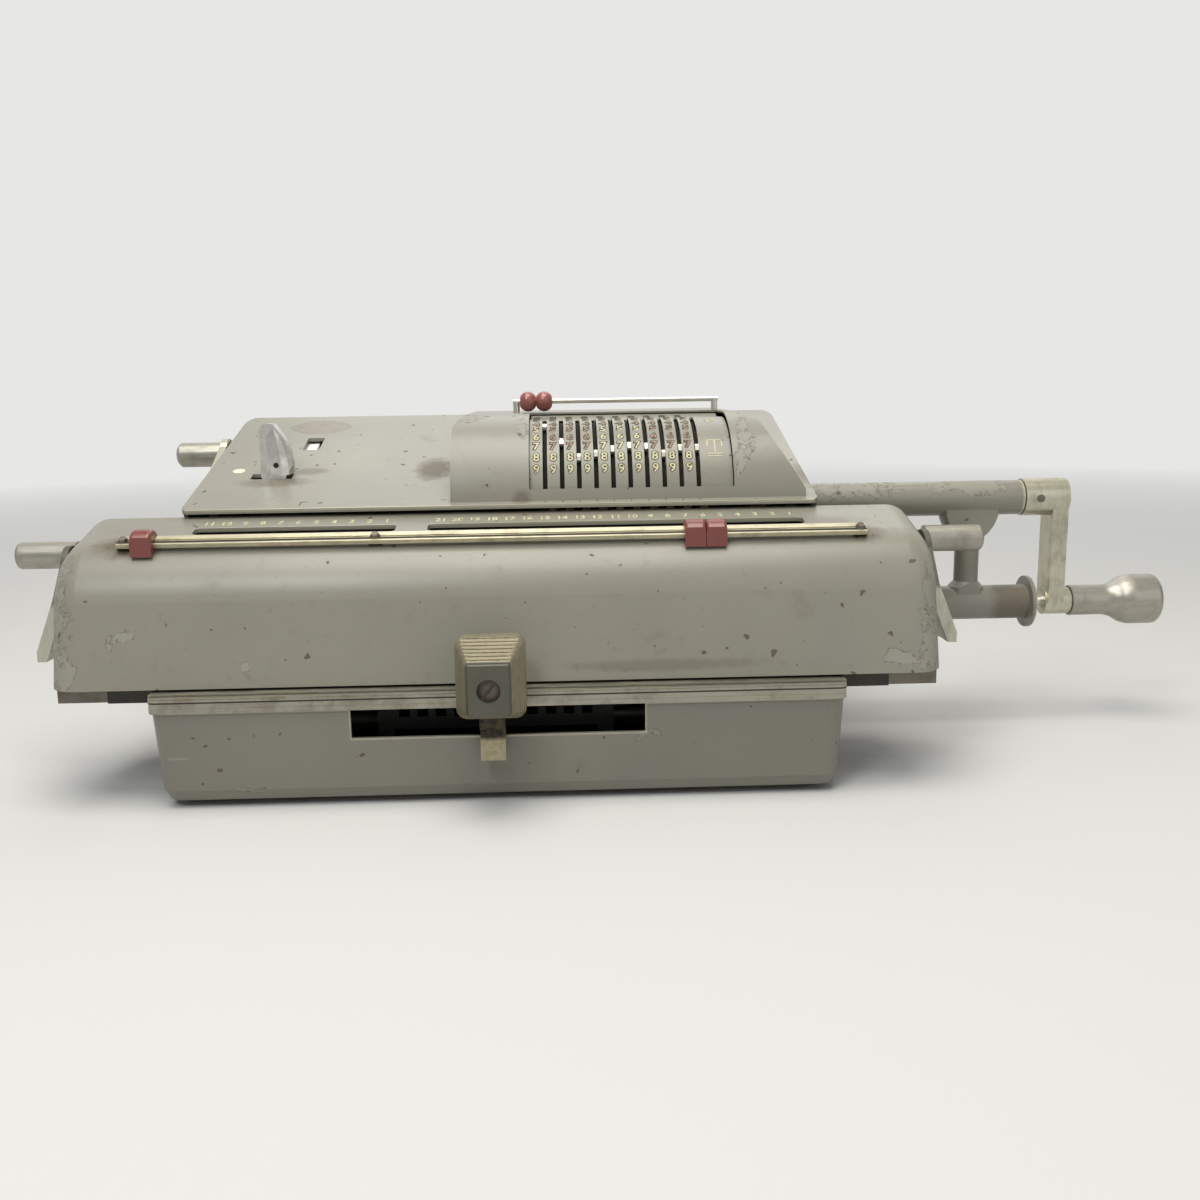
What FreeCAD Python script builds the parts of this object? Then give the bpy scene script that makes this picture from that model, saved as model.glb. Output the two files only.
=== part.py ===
import FreeCAD, Part
import math
import os
import re

import Sketcher

# Desk pinwheel calculator with ten setting levers, an 11-place counter and a 21-place result register.
# Millimetres, +Z up. X runs along the carriage, Y from the front of the base to the back.
# Pieces are drawn from the middle of the base front at table height, then moved to the centre of the whole object.

sizes = {
    # base
    "base_half_width": 128.5, "base_depth": 176.0, "base_top": 37.4, "base_draft": 1.6, "base_edge": 5.0,
    "base_wall": 1.6, "base_corner": 6.0, "foot_height": 2.2, "foot_radius": 9.0, "foot_inset": 24.0,
    "mouth_left": -55.2, "mouth_right": 53.3, "mouth_bottom": 26.2, "chassis_gap": 8.0,
    # side frames
    "frame_inset": 10.5, "frame_thickness": 4.0, "frame_nose": 60.0, "frame_step": 71.0, "frame_step_height": 62.0,
    "tie_radius": 4.0, "tie_front_y": 34.0, "tie_rear_inset": 26.0, "tie_low_z": 24.0, "tie_high_z": 112.0,
    # guide rail and rack
    "rail_front": -1.0, "rail_depth": 15.0, "rail_top": 44.0, "rail_lip": 2.2, "rail_groove": 0.6, "rail_step": 0.7,
    "rack_y": 17.0, "rack_thickness": 3.0, "rack_bottom": 24.6, "rack_height": 7.6, "notch_depth": 3.0,
    "notch_width": 4.2,
    # upper cover
    "plate_front_y": 54.4, "plate_front_z": 106.1, "plate_slope": 16.1, "cover_wall": 1.5,
    "wall_front_y": 72.0, "wall_front_z": 88.0, "rear_corner": 14.0, "cover_front_corner": 4.0, "rear_round": 5.0,
    # dome
    "drum_y": 97.3, "drum_z": 101.2, "dome_radius": 40.0, "dome_wall": 0.8, "dome_left": -21.0, "dome_margin": 4.5,
    "dome_lean": 20.0, "dome_edge": 4.0, "ridge_y": 118.5,
    # setting shell
    "shell_left": 11.0, "shell_right": 94.8, "shell_radius": 37.6, "shell_wall": 1.0, "slot_width": 1.9,
    "slot_foot_angle": 14.5, "slot_head_angle": 111.0, "strip_rear_z": 139.8, "check_window_radius": 1.6,
    # registers
    "digit_pitch": 7.0, "slot_first_x": 17.5, "result_first_x": -24.5, "counter_first_x": -115.5,
    "register_y": 45.3, "register_z": 86.1, "wheel_radius": 9.0, "wheel_width": 4.4, "wheel_gear_radius": 7.3,
    "wheel_gear_width": 1.8, "register_shaft_radius": 2.5,
    "transfer_y": 57.2, "transfer_z": 75.9, "transfer_radius": 8.0, "transfer_width": 1.6,
    "transfer_shaft_radius": 2.0, "tooth_depth": 1.4,
    # crank and pinwheels
    "shaft_radius": 5.0, "running_gap": 0.05, "hub_radius": 7.0, "pinwheel_radius": 31.5, "pinwheel_width": 3.2,
    "pinwheel_offset": 1.2, "pin_out": 35.8, "pin_in": 32.6, "pin_width": 1.6, "lever_radius": 35.8,
    "lever_thickness": 1.5, "tip_radius": 38.8, "tip_angle": 5.0, "step_angle": 8.65, "nine_angle": 29.0,
    "drive_gear_radius": 26.0, "drive_gear_width": 6.0, "drive_gear_inset": 14.0,
    "arm_thickness": 7.1, "arm_width": 13.0, "crank_throw": 47.2, "hub_length": 12.5, "hub_gap": 0.3,
    "crank_hub_radius": 8.2, "boss_radius": 6.0, "boss_reach": 4.1, "cross_pin_radius": 1.7,
    # crank bracket
    "tube_radius": 7.6, "tube_reach": 99.5, "post_reach": 76.7, "post_radius": 5.3, "post_flare": 11.0,
    "socket_radius": 11.5, "socket_reach": 105.5, "socket_thickness": 1.8, "socket_hole": 2.6,
    # grip
    "spindle_radius": 3.0, "grip_gap": 0.3, "grip_length": 39.8, "grip_neck": 14.6, "grip_neck_radius": 6.8,
    "grip_head": 11.6, "grip_end_radius": 11.2, "grip_round": 2.6, "spindle_depth": 20.0, "sleeve_depth": 3.6,
    "sleeve_gap": 0.15, "lock_gap": 0.3,
    "lock_pin_radius": 2.3,
    # carriage cover
    "carriage_half_width": 167.4, "carriage_rear_y": 57.0, "carriage_rear_z": 103.2, "carriage_slope": 15.0,
    "carriage_front_y": 5.4, "carriage_bottom": 45.0, "carriage_draft": 13.4, "nose_radius": 28.0,
    "carriage_edge": 11.0, "carriage_wall": 1.5, "window_near": 12.5, "window_far": 19.2, "window_margin": 4.3, "window_corner": 2.0,
    "strip_depth": 2.0, "strip_thickness": 0.6, "digit_window_radius": 2.3, "wheel_clearance": 0.4,
    # carriage structure
    "end_plate_inset": 8.9, "end_plate_thickness": 4.0, "middle_plate_x": -36.2, "middle_plate_thickness": 2.4,
    "slide_rod_y": 66.0, "slide_rod_z": 52.0, "slide_rod_radius": 4.0, "bush_radius": 6.5, "shoe_length": 18.4,
    "shoe_inset": 1.0, "shoe_bottom": 38.4, "runner_thickness": 2.4, "runner_lift": 0.15,
    "runner_top": 48.0, "carriage_travel": 35.0,
    # marker strip and markers
    "marker_strip_left_inset": 23.8, "marker_strip_right_inset": 26.6, "marker_strip_y": 26.6, "marker_strip_z": 97.2,
    "marker_strip_width": 5.4, "marker_strip_thickness": 1.8, "marker_tilt": 29.0, "marker_post_x": -47.0,
    "marker_width": 7.9, "marker_wall": 2.2, "marker_apron": 4.4, "marker_one_x": -133.6, "marker_two_x": 74.5,
    "marker_three_x": 82.6, "marker_gap": 0.1, "marker_lift": 2.3, "marker_round": 1.4,
    # rear marker rod
    "rear_rod_y": 123.0, "rear_rod_z": 146.2, "rear_rod_radius": 1.1, "rear_rod_left": 3.0, "rear_rod_right": 96.2,
    "rear_post_radius": 1.5, "bead_radius": 4.5, "bead_width": 7.2, "bead_crown": 2.4, "bead_one_x": 9.8, "bead_two_x": 17.1,
    # clearing levers
    "clear_arm_gap": 0.6, "clear_arm_thickness": 2.4, "clear_hub_radius": 8.0, "clear_knob_y": 80.0,
    "clear_knob_z": 85.8, "clear_knob_radius": 5.7, "clear_stem_length": 9.6, "clear_stem_radius": 3.6,
    "clear_knob_length": 25.0, "tail_front": 27.0, "tail_rear": 39.0, "tail_bottom": 51.6, "tail_top": 75.0,
    "tail_flare": 7.6,
    # setting clear lever
    "reset_knob_y": 135.0, "reset_knob_z": 124.0, "reset_knob_radius": 5.6, "reset_knob_length": 20.6,
    "reset_gap": 0.4, "reset_arm_thickness": 3.0, "stub_radius": 6.5,
    # mode lever
    "mode_inset": 29.9, "mode_y": 90.8, "mode_pivot_z": 110.8, "mode_thickness": 5.0, "mode_top": 139.0,
    "mode_slot_left_reach": 9.9, "mode_slot_right_reach": 7.6, "mode_slot_width": 6.2, "mode_pin_radius": 1.5,
    "flag_offset": 5.2, "flag_width": 7.6, "flag_front": 123.5, "flag_rear": 139.5,
    # shift handle
    "handle_x": -2.8, "handle_top": 65.4, "handle_bottom": 35.4, "handle_back_half": 12.6, "handle_face_half": 7.2,
    "handle_face_top": 58.0, "handle_face_bottom": 39.8, "handle_back_y": -3.4, "handle_shoulder": 6.0,
    "handle_pivot_y": -7.0, "handle_pivot_z": 51.5, "handle_pin_radius": 1.5, "handle_arm_half": 4.0,
    "handle_front_y": -23.0, "handle_corner": 4.0, "handle_face_corner": 1.8, "rib_radius": 0.75,
    "handle_screw_radius": 3.9, "handle_screw_head": 1.2, "tongue_half": 4.6, "tongue_bottom": 18.6,
    "tongue_thickness": 2.0,
    # screws
    "small_screw_radius": 2.0,
}

# Places that follow other sizes
follows = {
    "frame_inner": "base_half_width - frame_inset",
    "tie_rear_y": "base_depth - tie_rear_inset",
    "dome_right": "base_half_width - dome_margin",
    "dome_shoulder": "dome_right - dome_lean",
    "drive_gear_x": "frame_inner - drive_gear_inset",
    "tube_end": "base_half_width + tube_reach",
    "post_x": "base_half_width + post_reach",
    "socket_face": "base_half_width + socket_reach",
    "hub_start": "tube_end + hub_gap",
    "arm_inner": "hub_start + hub_length",
    "arm_outer": "arm_inner + arm_thickness",
    "boss_end": "arm_outer + boss_reach",
    "grip_start": "boss_end + grip_gap",
    "grip_end": "grip_start + grip_length",
    "end_plate_x": "carriage_half_width - end_plate_inset",
    "shoe_outer": "carriage_half_width - shoe_inset",
    "shoe_inner": "shoe_outer - shoe_length",
    "marker_strip_left": "marker_strip_left_inset - carriage_half_width",
    "marker_strip_right": "carriage_half_width - marker_strip_right_inset",
    "clear_arm_start": "carriage_half_width + clear_arm_gap",
    "clear_knob_start": "clear_arm_start + clear_arm_thickness + clear_stem_length",
    "clear_knob_end": "clear_knob_start + clear_knob_length",
    "reset_arm_start": "base_half_width + reset_gap",
    "reset_knob_end": "reset_arm_start + reset_arm_thickness + reset_knob_length",
    "mode_x": "mode_inset - base_half_width",
    "mode_slot_left": "mode_x - mode_slot_left_reach",
    "mode_slot_right": "mode_x + mode_slot_right_reach",
    "flag_left": "mode_x + flag_offset",
    "flag_right": "flag_left + flag_width",
}

lever_digits = [4.5, 6.6, 8.1, 7.8, 7.4, 7.1, 7.2, 7.9, 7.4, 7.4]
slot_count = 10
result_count = 21
counter_count = 11
pins_per_wheel = 9
teeth_per_wheel = 10

doc = FreeCAD.newDocument("PinwheelCalculator")
sheet = doc.addObject("Spreadsheet::Sheet", "Sizes")
for row, (name, number) in enumerate(sizes.items(), start=1):
    sheet.set(f"A{row}", name)
    sheet.set(f"B{row}", str(number))
    sheet.setAlias(f"B{row}", name)
doc.recompute()

nodes = {}
turns = {
    "x": FreeCAD.Rotation(FreeCAD.Vector(0, 1, 0), 90),
    "y": FreeCAD.Rotation(FreeCAD.Vector(1, 0, 0), -90),
    "z": FreeCAD.Rotation(),
}


def written_out(expression):
    """The same expression with each place that follows other sizes replaced by what it follows."""
    def swap(word):
        name = word.group(0)
        return f"({written_out(follows[name])})" if name in follows else name
    return re.sub(r"[a-z]\w*", swap, str(expression))


def link(expression):
    """The same expression with each size's name pointing at its cell."""
    return re.sub(r"[a-z]\w*", lambda word: "Sizes." * (word.group(0) in sizes) + word.group(0), written_out(expression))


def value(expression):
    return float(sheet.evalExpression(written_out(expression)))


def bind(part, prop, expression):
    part.setExpression(prop, link(expression))


def seat(part, x, y, z):
    for axis, expression in zip("xyz", (x, y, z)):
        bind(part, "Placement.Base." + axis, expression)
    return part


def block(name, x, y, z):
    """A box between two expressions on each axis."""
    part = doc.addObject("Part::Box", name)
    for prop, (low, high) in zip(("Length", "Width", "Height"), (x, y, z)):
        bind(part, prop, f"({high}) - ({low})")
    return seat(part, x[0], y[0], z[0])


def rod(name, axis, span, centre, radius, end_radius=None):
    """A cylinder, or a cone where it has an end radius, along an axis; centre holds the other two coordinates."""
    part = doc.addObject("Part::Cylinder" if end_radius is None else "Part::Cone", name)
    part.Placement = FreeCAD.Placement(FreeCAD.Vector(), turns[axis])
    bind(part, "Height", f"({span[1]}) - ({span[0]})")
    if end_radius is None:
        bind(part, "Radius", radius)
    else:
        bind(part, "Radius1", radius)
        bind(part, "Radius2", end_radius)
    spot = list(centre)
    spot.insert("xyz".index(axis), span[0])
    return seat(part, *spot)


def draw(body, role, points):
    """A closed outline of bound points. A point may carry the radius of the arc to the next point and the side
    of the walk on which the arc's centre lies."""
    plane = [feature for feature in body.Origin.OriginFeatures if feature.Role == role][0]
    sketch = body.newObject("Sketcher::SketchObject", body.Name + "_outline")
    sketch.AttachmentSupport = [(plane, "")]
    sketch.MapMode = "FlatFace"
    spots = [FreeCAD.Vector(value(point[0]), value(point[1]), 0) for point in points]
    ends = []
    for index, point in enumerate(points):
        start, end = spots[index], spots[(index + 1) % len(points)]
        if len(point) == 2:
            sketch.addGeometry(Part.LineSegment(start, end), False)
            ends.append((1, 2))
            continue
        radius, side = value(point[2]), point[3]
        half = (end - start) * 0.5
        left = FreeCAD.Vector(-half.y, half.x, 0).normalize()
        depth = math.sqrt(max(radius ** 2 - half.Length ** 2, 0.0))
        centre = start + half + left * (depth if side == "left" else -depth)
        first, last = (start, end) if side == "left" else (end, start)
        angles = [math.atan2(spot.y - centre.y, spot.x - centre.x) for spot in (first, last)]
        circle = Part.Circle(centre, FreeCAD.Vector(0, 0, 1), radius)
        sketch.addGeometry(Part.ArcOfCircle(circle, angles[0], angles[1]), False)
        ends.append((1, 2) if side == "left" else (2, 1))
    for index, point in enumerate(points):
        following = (index + 1) % len(points)
        sketch.addConstraint(Sketcher.Constraint("Coincident", index, ends[index][1], following, ends[following][0]))
    for index, point in enumerate(points):
        for kind, expression in zip(("DistanceX", "DistanceY"), point[:2]):
            number = sketch.addConstraint(Sketcher.Constraint(kind, index, ends[index][0], value(expression)))
            sketch.setExpression(f"Constraints[{number}]", link(expression))
        if len(point) > 2:
            number = sketch.addConstraint(Sketcher.Constraint("Radius", index, value(point[2])))
            sketch.setExpression(f"Constraints[{number}]", link(point[2]))
    return sketch


def slab(name, plane, points, span):
    """An outline in the YZ, XZ or XY plane, padded between two expressions on the third axis."""
    body = doc.addObject("PartDesign::Body", name)
    pad = body.newObject("PartDesign::Pad", name + "_pad")
    pad.Profile = draw(body, plane + "_Plane", points)
    bind(pad, "Length", f"({span[1]}) - ({span[0]})")
    pad.Reversed = plane == "XZ"
    seat(body, *("0" if letter in plane else span[0] for letter in "XYZ"))
    return body


def turned(name, axis, points, centre):
    """An outline of (place along the axis, radius) points turned about that axis."""
    body = doc.addObject("PartDesign::Body", name)
    turn = body.newObject("PartDesign::Revolution", name + "_turn")
    along_x = axis == "x"
    flipped = points if along_x else [(point[1], point[0], *point[2:]) for point in points]
    turn.Profile = draw(body, "XY_Plane" if axis != "z" else "XZ_Plane", flipped)
    turn.ReferenceAxis = (turn.Profile[0], ["H_Axis" if along_x else "V_Axis"])
    turn.Angle = 360.0
    spot = list(centre)
    spot.insert("xyz".index(axis), "0")
    return seat(body, *spot)


def round_edges(body, radius, chosen):
    """A fillet, of a bound radius, on the edges whose middle point and edge pass the test."""
    doc.recompute()
    base = body.Tip
    names = [f"Edge{number}" for number, edge in enumerate(base.Shape.Edges, start=1) if chosen(edge)]
    fillet = body.newObject("PartDesign::Fillet", body.Name + "_fillet")
    fillet.Base = (base, names)
    bind(fillet, "Radius", radius)
    body.Tip = fillet
    return body


def cut(name, base, *tools):
    part = doc.addObject("Part::Cut", name)
    part.Base = base
    part.Tool = tools[0] if len(tools) == 1 else join(name + "_tools", *tools)
    return part


def join(name, *parts):
    part = doc.addObject("Part::MultiFuse", name)
    part.Shapes = list(parts)
    part.Refine = True
    return part


def overlap(name, *parts):
    part = doc.addObject("Part::MultiCommon", name)
    part.Shapes = list(parts)
    return part


def node(name, *parts):
    """A named sub-part: its pieces, moved from the base front to the centre of the whole object."""
    part = doc.addObject("Part::Compound", name + "_node")
    part.Label = name
    part.Links = list(parts)
    seat(part, "(clear_knob_end - grip_end) / 2", "(handle_screw_head - handle_front_y - base_depth) / 2", "0")
    nodes[name] = part


def polar(radius, angle):
    """A point about the drum axis; the angle runs up from the front."""
    return (f"drum_y - ({radius}) * cos({angle})", f"drum_z + ({radius}) * sin({angle})")


def plate_z(y, drop="0"):
    """Height of the sloping plate at y, less a drop square to it."""
    return f"plate_front_z + (({y}) - plate_front_y) * tan(plate_slope) - ({drop}) / cos(plate_slope)"


def on_slope(back, drop):
    """A point on the carriage top, measured from its rear edge forward along the slope and down square to it."""
    return (
        f"carriage_rear_y - ({back}) * cos(carriage_slope) + ({drop}) * sin(carriage_slope)",
        f"carriage_rear_z - ({back}) * sin(carriage_slope) - ({drop}) * cos(carriage_slope)",
    )


def rectangle(x, y):
    return [(x[0], y[0]), (x[1], y[0]), (x[1], y[1]), (x[0], y[1])]


def rounded(half, front, rear, corner, front_corner):
    """A plan outline with rounded corners, walked counter-clockwise from the front left."""
    return [
        (f"-({half}) + ({front_corner})", front), (f"({half}) - ({front_corner})", front, front_corner, "left"),
        (half, f"({front}) + ({front_corner})"), (half, f"({rear}) - ({corner})", corner, "left"),
        (f"({half}) - ({corner})", rear), (f"-({half}) + ({corner})", rear, corner, "left"),
        (f"-({half})", f"({rear}) - ({corner})"), (f"-({half})", f"({front}) + ({front_corner})", front_corner, "left"),
    ]


def window(x, y, corner):
    """An outline with four equal rounded corners, walked counter-clockwise."""
    return [
        (f"{x[0]} + {corner}", y[0]), (f"{x[1]} - {corner}", y[0], corner, "left"),
        (x[1], f"{y[0]} + {corner}"), (x[1], f"{y[1]} - {corner}", corner, "left"),
        (f"{x[1]} - {corner}", y[1]), (f"{x[0]} + {corner}", y[1], corner, "left"),
        (x[0], f"{y[1]} - {corner}"), (x[0], f"{y[0]} + {corner}", corner, "left"),
    ]


# Base

def base_tub(name, inset, floor):
    """A tub whose drafted walls narrow towards the table, with a bevelled lower edge."""
    levels = [
        (floor, "base_draft + base_edge * 0.8"), (f"{floor} + base_edge * 0.2", "base_draft + base_edge * 0.32"),
        (f"{floor} + base_edge", "base_draft"), ("base_top", "0"),
    ]
    loft = doc.addObject("Part::Loft", name)
    sections = []
    for number, (level, lean) in enumerate(levels):
        body = doc.addObject("PartDesign::Body", f"{name}_level_{number}")
        shrink = f"({inset} + {lean})"
        sketch = draw(body, "XY_Plane", rounded(
            f"base_half_width - {shrink}", shrink, f"base_depth - {shrink}", f"base_corner - ({inset})",
            f"base_corner - ({inset})"))
        bind(sketch, "AttachmentOffset.Base.z", level)
        sections.append(sketch)
    loft.Sections = sections
    loft.Solid = True
    loft.Ruled = True
    return loft


def make_base():
    mouth = block("mouth", ("mouth_left", "mouth_right"), ("-base_wall", "base_wall * 4"),
                  ("mouth_bottom", "base_top + base_wall"))
    hollow = base_tub("base_hollow", "base_wall", "foot_height + base_wall")
    node("base_housing", cut("base_shell", base_tub("base_form", "0", "foot_height"), hollow, mouth))
    feet = []
    for x in ("-base_half_width + foot_inset", "base_half_width - foot_inset"):
        for y in ("foot_inset", "base_depth - foot_inset"):
            feet.append(rod(f"foot_{len(feet)}", "z", ("0", "foot_height"), (x, y), "foot_radius * 0.85",
                            "foot_radius"))
    node("rubber_feet", *feet)


def make_frames():
    floor = "foot_height + base_wall"
    rear = "base_depth - base_draft - base_edge - base_wall - chassis_gap"
    front = "base_draft + base_edge + base_wall + chassis_gap"
    lift = "1.2"
    points = [
        (front, f"{floor} + base_edge"), (rear, f"{floor} + base_edge"), (rear, plate_z(rear, "cover_wall + " + lift)),
        ("frame_step", plate_z("frame_step", "cover_wall + " + lift)), ("frame_step", "frame_step_height"),
        ("frame_nose", "frame_step_height"), ("frame_nose", "base_top - 1.4"), (front, "base_top - 1.4"),
    ]
    for side, sign in (("left", "-1"), ("right", "1")):
        inner, outer = "frame_inner", "(frame_inner + frame_thickness)"
        span = (f"-{outer}", f"-{inner}") if side == "left" else (inner, outer)
        plate = slab(f"{side}_frame_plate", "YZ", points, span)
        holes = [
            rod(f"{side}_bearing_hole", "x", span, ("drum_y", "drum_z"), "stub_radius"),
            rod(f"{side}_slide_hole", "x", span, ("slide_rod_y", "slide_rod_z"), "bush_radius - 1.5"),
        ]
        for name, y, z in (("front", "tie_front_y", "tie_low_z"), ("low", "tie_rear_y", "tie_low_z"),
                           ("high", "tie_rear_y", "tie_high_z")):
            holes.append(rod(f"{side}_{name}_tie_hole", "x", span, (y, z), "tie_radius - 1"))
        lightening = rod(f"{side}_window", "x", span, ("drum_y + 34", "drum_z - 46"), "17")
        feet = []
        foot_x = ("-frame_inner", "-frame_inner + 8") if side == "left" else ("frame_inner - 8", "frame_inner")
        toe_x = ("-frame_inner + 2", "-frame_inner + 8") if side == "left" else ("frame_inner - 8", "frame_inner - 2")
        for y in (f"{front} + 4", f"{rear} - 24"):
            feet.append(block(f"{side}_frame_foot_{len(feet)}", foot_x, (y, f"{y} + 20"), (f"{floor} + 3", f"{floor} + base_edge + 6")))
            feet.append(block(f"{side}_frame_toe_{len(feet)}", toe_x, (y, f"{y} + 20"), (floor, f"{floor} + 3")))
        node(f"{side}_side_frame", join(f"{side}_frame_footed", cut(f"{side}_frame", plate, *holes, lightening), *feet))
    rods = []
    for name, y, z in (("front", "tie_front_y", "tie_low_z"), ("low", "tie_rear_y", "tie_low_z"),
                       ("high", "tie_rear_y", "tie_high_z")):
        middle = rod(f"{name}_tie", "x", ("-frame_inner", "frame_inner"), (y, z), "tie_radius")
        ends = rod(f"{name}_tie_ends", "x", ("-frame_inner - frame_thickness", "frame_inner + frame_thickness"),
                   (y, z), "tie_radius - 1")
        rods.append(join(f"{name}_tie_rod", middle, ends))
    node("frame_tie_rods", *rods)


def make_bushings():
    outer = "frame_inner + frame_thickness"
    shaft_bore = "shaft_radius + running_gap"
    slide_bore = "slide_rod_radius + running_gap"
    centre, low = ("drum_y", "drum_z"), ("slide_rod_y", "slide_rod_z")
    left = cut(
        "left_shaft_bush",
        join("left_stub", rod("left_stub_tube", "x", ("-reset_arm_start - reset_arm_thickness - 2.4", "-frame_inner"),
                              centre, "stub_radius"),
             rod("left_stub_flange", "x", ("-frame_inner", "-frame_inner + 2"), centre, "stub_radius + 3")),
        rod("left_stub_bore", "x", ("-reset_arm_start - reset_arm_thickness - 3", "-frame_inner + 3"), centre,
            shaft_bore))
    right = cut(
        "right_shaft_bush",
        join("right_stub", rod("right_stub_tube", "x", ("frame_inner", outer), centre, "stub_radius"),
             rod("right_stub_flange", "x", ("frame_inner - 2", "frame_inner"), centre, "stub_radius + 3")),
        rod("right_stub_bore", "x", ("frame_inner - 3", outer + " + 1"), centre, shaft_bore))
    bushes = [left, right]
    for side in ("left", "right"):
        tube = ("-(" + outer + ")", "-frame_inner") if side == "left" else ("frame_inner", outer)
        collar = ("-frame_inner", "-frame_inner + 3") if side == "left" else ("frame_inner - 3", "frame_inner")
        bore = ("-frame_inner - 12", "4 - frame_inner") if side == "left" else ("frame_inner - 4", "frame_inner + 12")
        bushes.append(cut(
            f"{side}_slide_bush",
            join(f"{side}_slide_sleeve", rod(f"{side}_slide_tube", "x", tube, low, "bush_radius - 1.5"),
                 rod(f"{side}_slide_collar", "x", collar, low, "bush_radius")),
            rod(f"{side}_slide_bore", "x", bore, low, slide_bore)))
    node("shaft_bushings", *bushes)


def make_rail():
    rear = "rail_front + rail_depth"
    points = [
        ("rail_front", "base_top"), (rear, "base_top"), (rear, "rail_top"),
        ("rail_front + rail_lip + rail_groove", "rail_top"),
        ("rail_front + rail_lip + rail_groove", "base_top + 3"), ("rail_front + rail_lip", "base_top + 3"),
        ("rail_front + rail_lip", "rail_top - rail_step"), ("rail_front", "rail_top - rail_step"),
    ]
    bar = slab("rail_bar", "YZ", points, ("-base_half_width", "base_half_width"))
    plan = slab("rail_plan", "XY", rounded("base_half_width", "rail_front", rear, "0.5", "3"),
                ("base_top - 1", "rail_top + 1"))
    node("guide_rail", overlap("rail", bar, plan))
    travel = "carriage_travel"
    rack = block("rack_bar", (f"handle_x - {travel} - 10", f"handle_x + {travel} + 10"),
                 ("rack_y", "rack_y + rack_thickness"), ("rack_bottom", "rack_bottom + rack_height"))
    notches = []
    for step in range(-5, 6):
        middle = f"handle_x + {step} * digit_pitch"
        notches.append(block(f"notch_{step + 5}", (f"{middle} - notch_width / 2", f"{middle} + notch_width / 2"),
                             ("rack_y - 1", "rack_y + rack_thickness + 1"),
                             ("rack_bottom + rack_height - notch_depth", "rack_bottom + rack_height + 1")))
    legs = []
    for number, x in enumerate((f"handle_x - {travel} - 10", f"handle_x + {travel} + 4")):
        legs.append(block(f"rack_leg_{number}", (x, f"{x} + 6"), ("rack_y", "rack_y + rack_thickness"),
                          ("foot_height + base_wall", "rack_bottom")))
    node("position_rack", join("rack", cut("rack_notched", rack, *notches), *legs))


# Upper cover, dome and setting shell

def cover_form(name, inset, open_by):
    """The wedge under the sloping plate: its section along X, its plan with the rounded rear corners."""
    rear, side = f"(base_depth + 0 - {inset})", f"base_half_width - {inset}"
    floor = f"base_top - {open_by}"
    front = f"wall_front_y - {open_by}"
    lip = f"plate_front_y - {open_by}"
    section = slab(name + "_section", "YZ", [
        (front, floor), (rear, floor), (rear, plate_z(rear, f"{inset} + rear_round")),
        (f"{rear} - rear_round", plate_z(f"{rear} - rear_round", inset)), (lip, plate_z(lip, inset)),
        (lip, plate_z(lip, f"{inset} + cover_wall")),
        (f"carriage_rear_y + 1.4 - {open_by}", plate_z(lip, f"{inset} + cover_wall")), (front, f"wall_front_z - {open_by}"),
    ], (f"-({side})", side))
    corner = f"rear_corner - {inset}"
    plan = slab(name + "_plan", "XY", rounded(side, f"{lip} - 0.3", rear, corner, f"cover_front_corner - {inset}"),
                ("base_top - 2", "150"))
    return overlap(name, section, plan)


def dome_form(name, inset, start, depth):
    """The dome: an arc about the drum from the plate up to its top, then flat to the back; its right end leans.
    It reaches down to a depth below the plate's surface."""
    radius = f"(dome_radius - {inset})"
    top = f"drum_z + {radius}"
    rear = f"base_depth - 3 - {inset}"
    section = slab(name + "_section", "YZ", [
        (*polar(radius, start), radius, "right"), ("drum_y", top), (rear, top), (rear, plate_z(rear, depth)),
    ], (f"dome_left + {inset}", f"dome_right - {inset}"))
    lean = f"dome_right - {inset}"
    front = slab(name + "_front", "XZ", [
        (f"dome_left + {inset}", "drum_z - 4"), (lean, "drum_z - 4"), (lean, "drum_z + 9"),
        (f"dome_shoulder - {inset} + dome_edge", f"{top} - dome_edge"),
        (f"dome_shoulder - {inset} - dome_edge", top), (f"dome_left + {inset} + dome_edge", top),
        (f"dome_left + {inset}", f"{top} - dome_edge"),
    ], ("0", "200"))
    return overlap(name, section, front)


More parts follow.
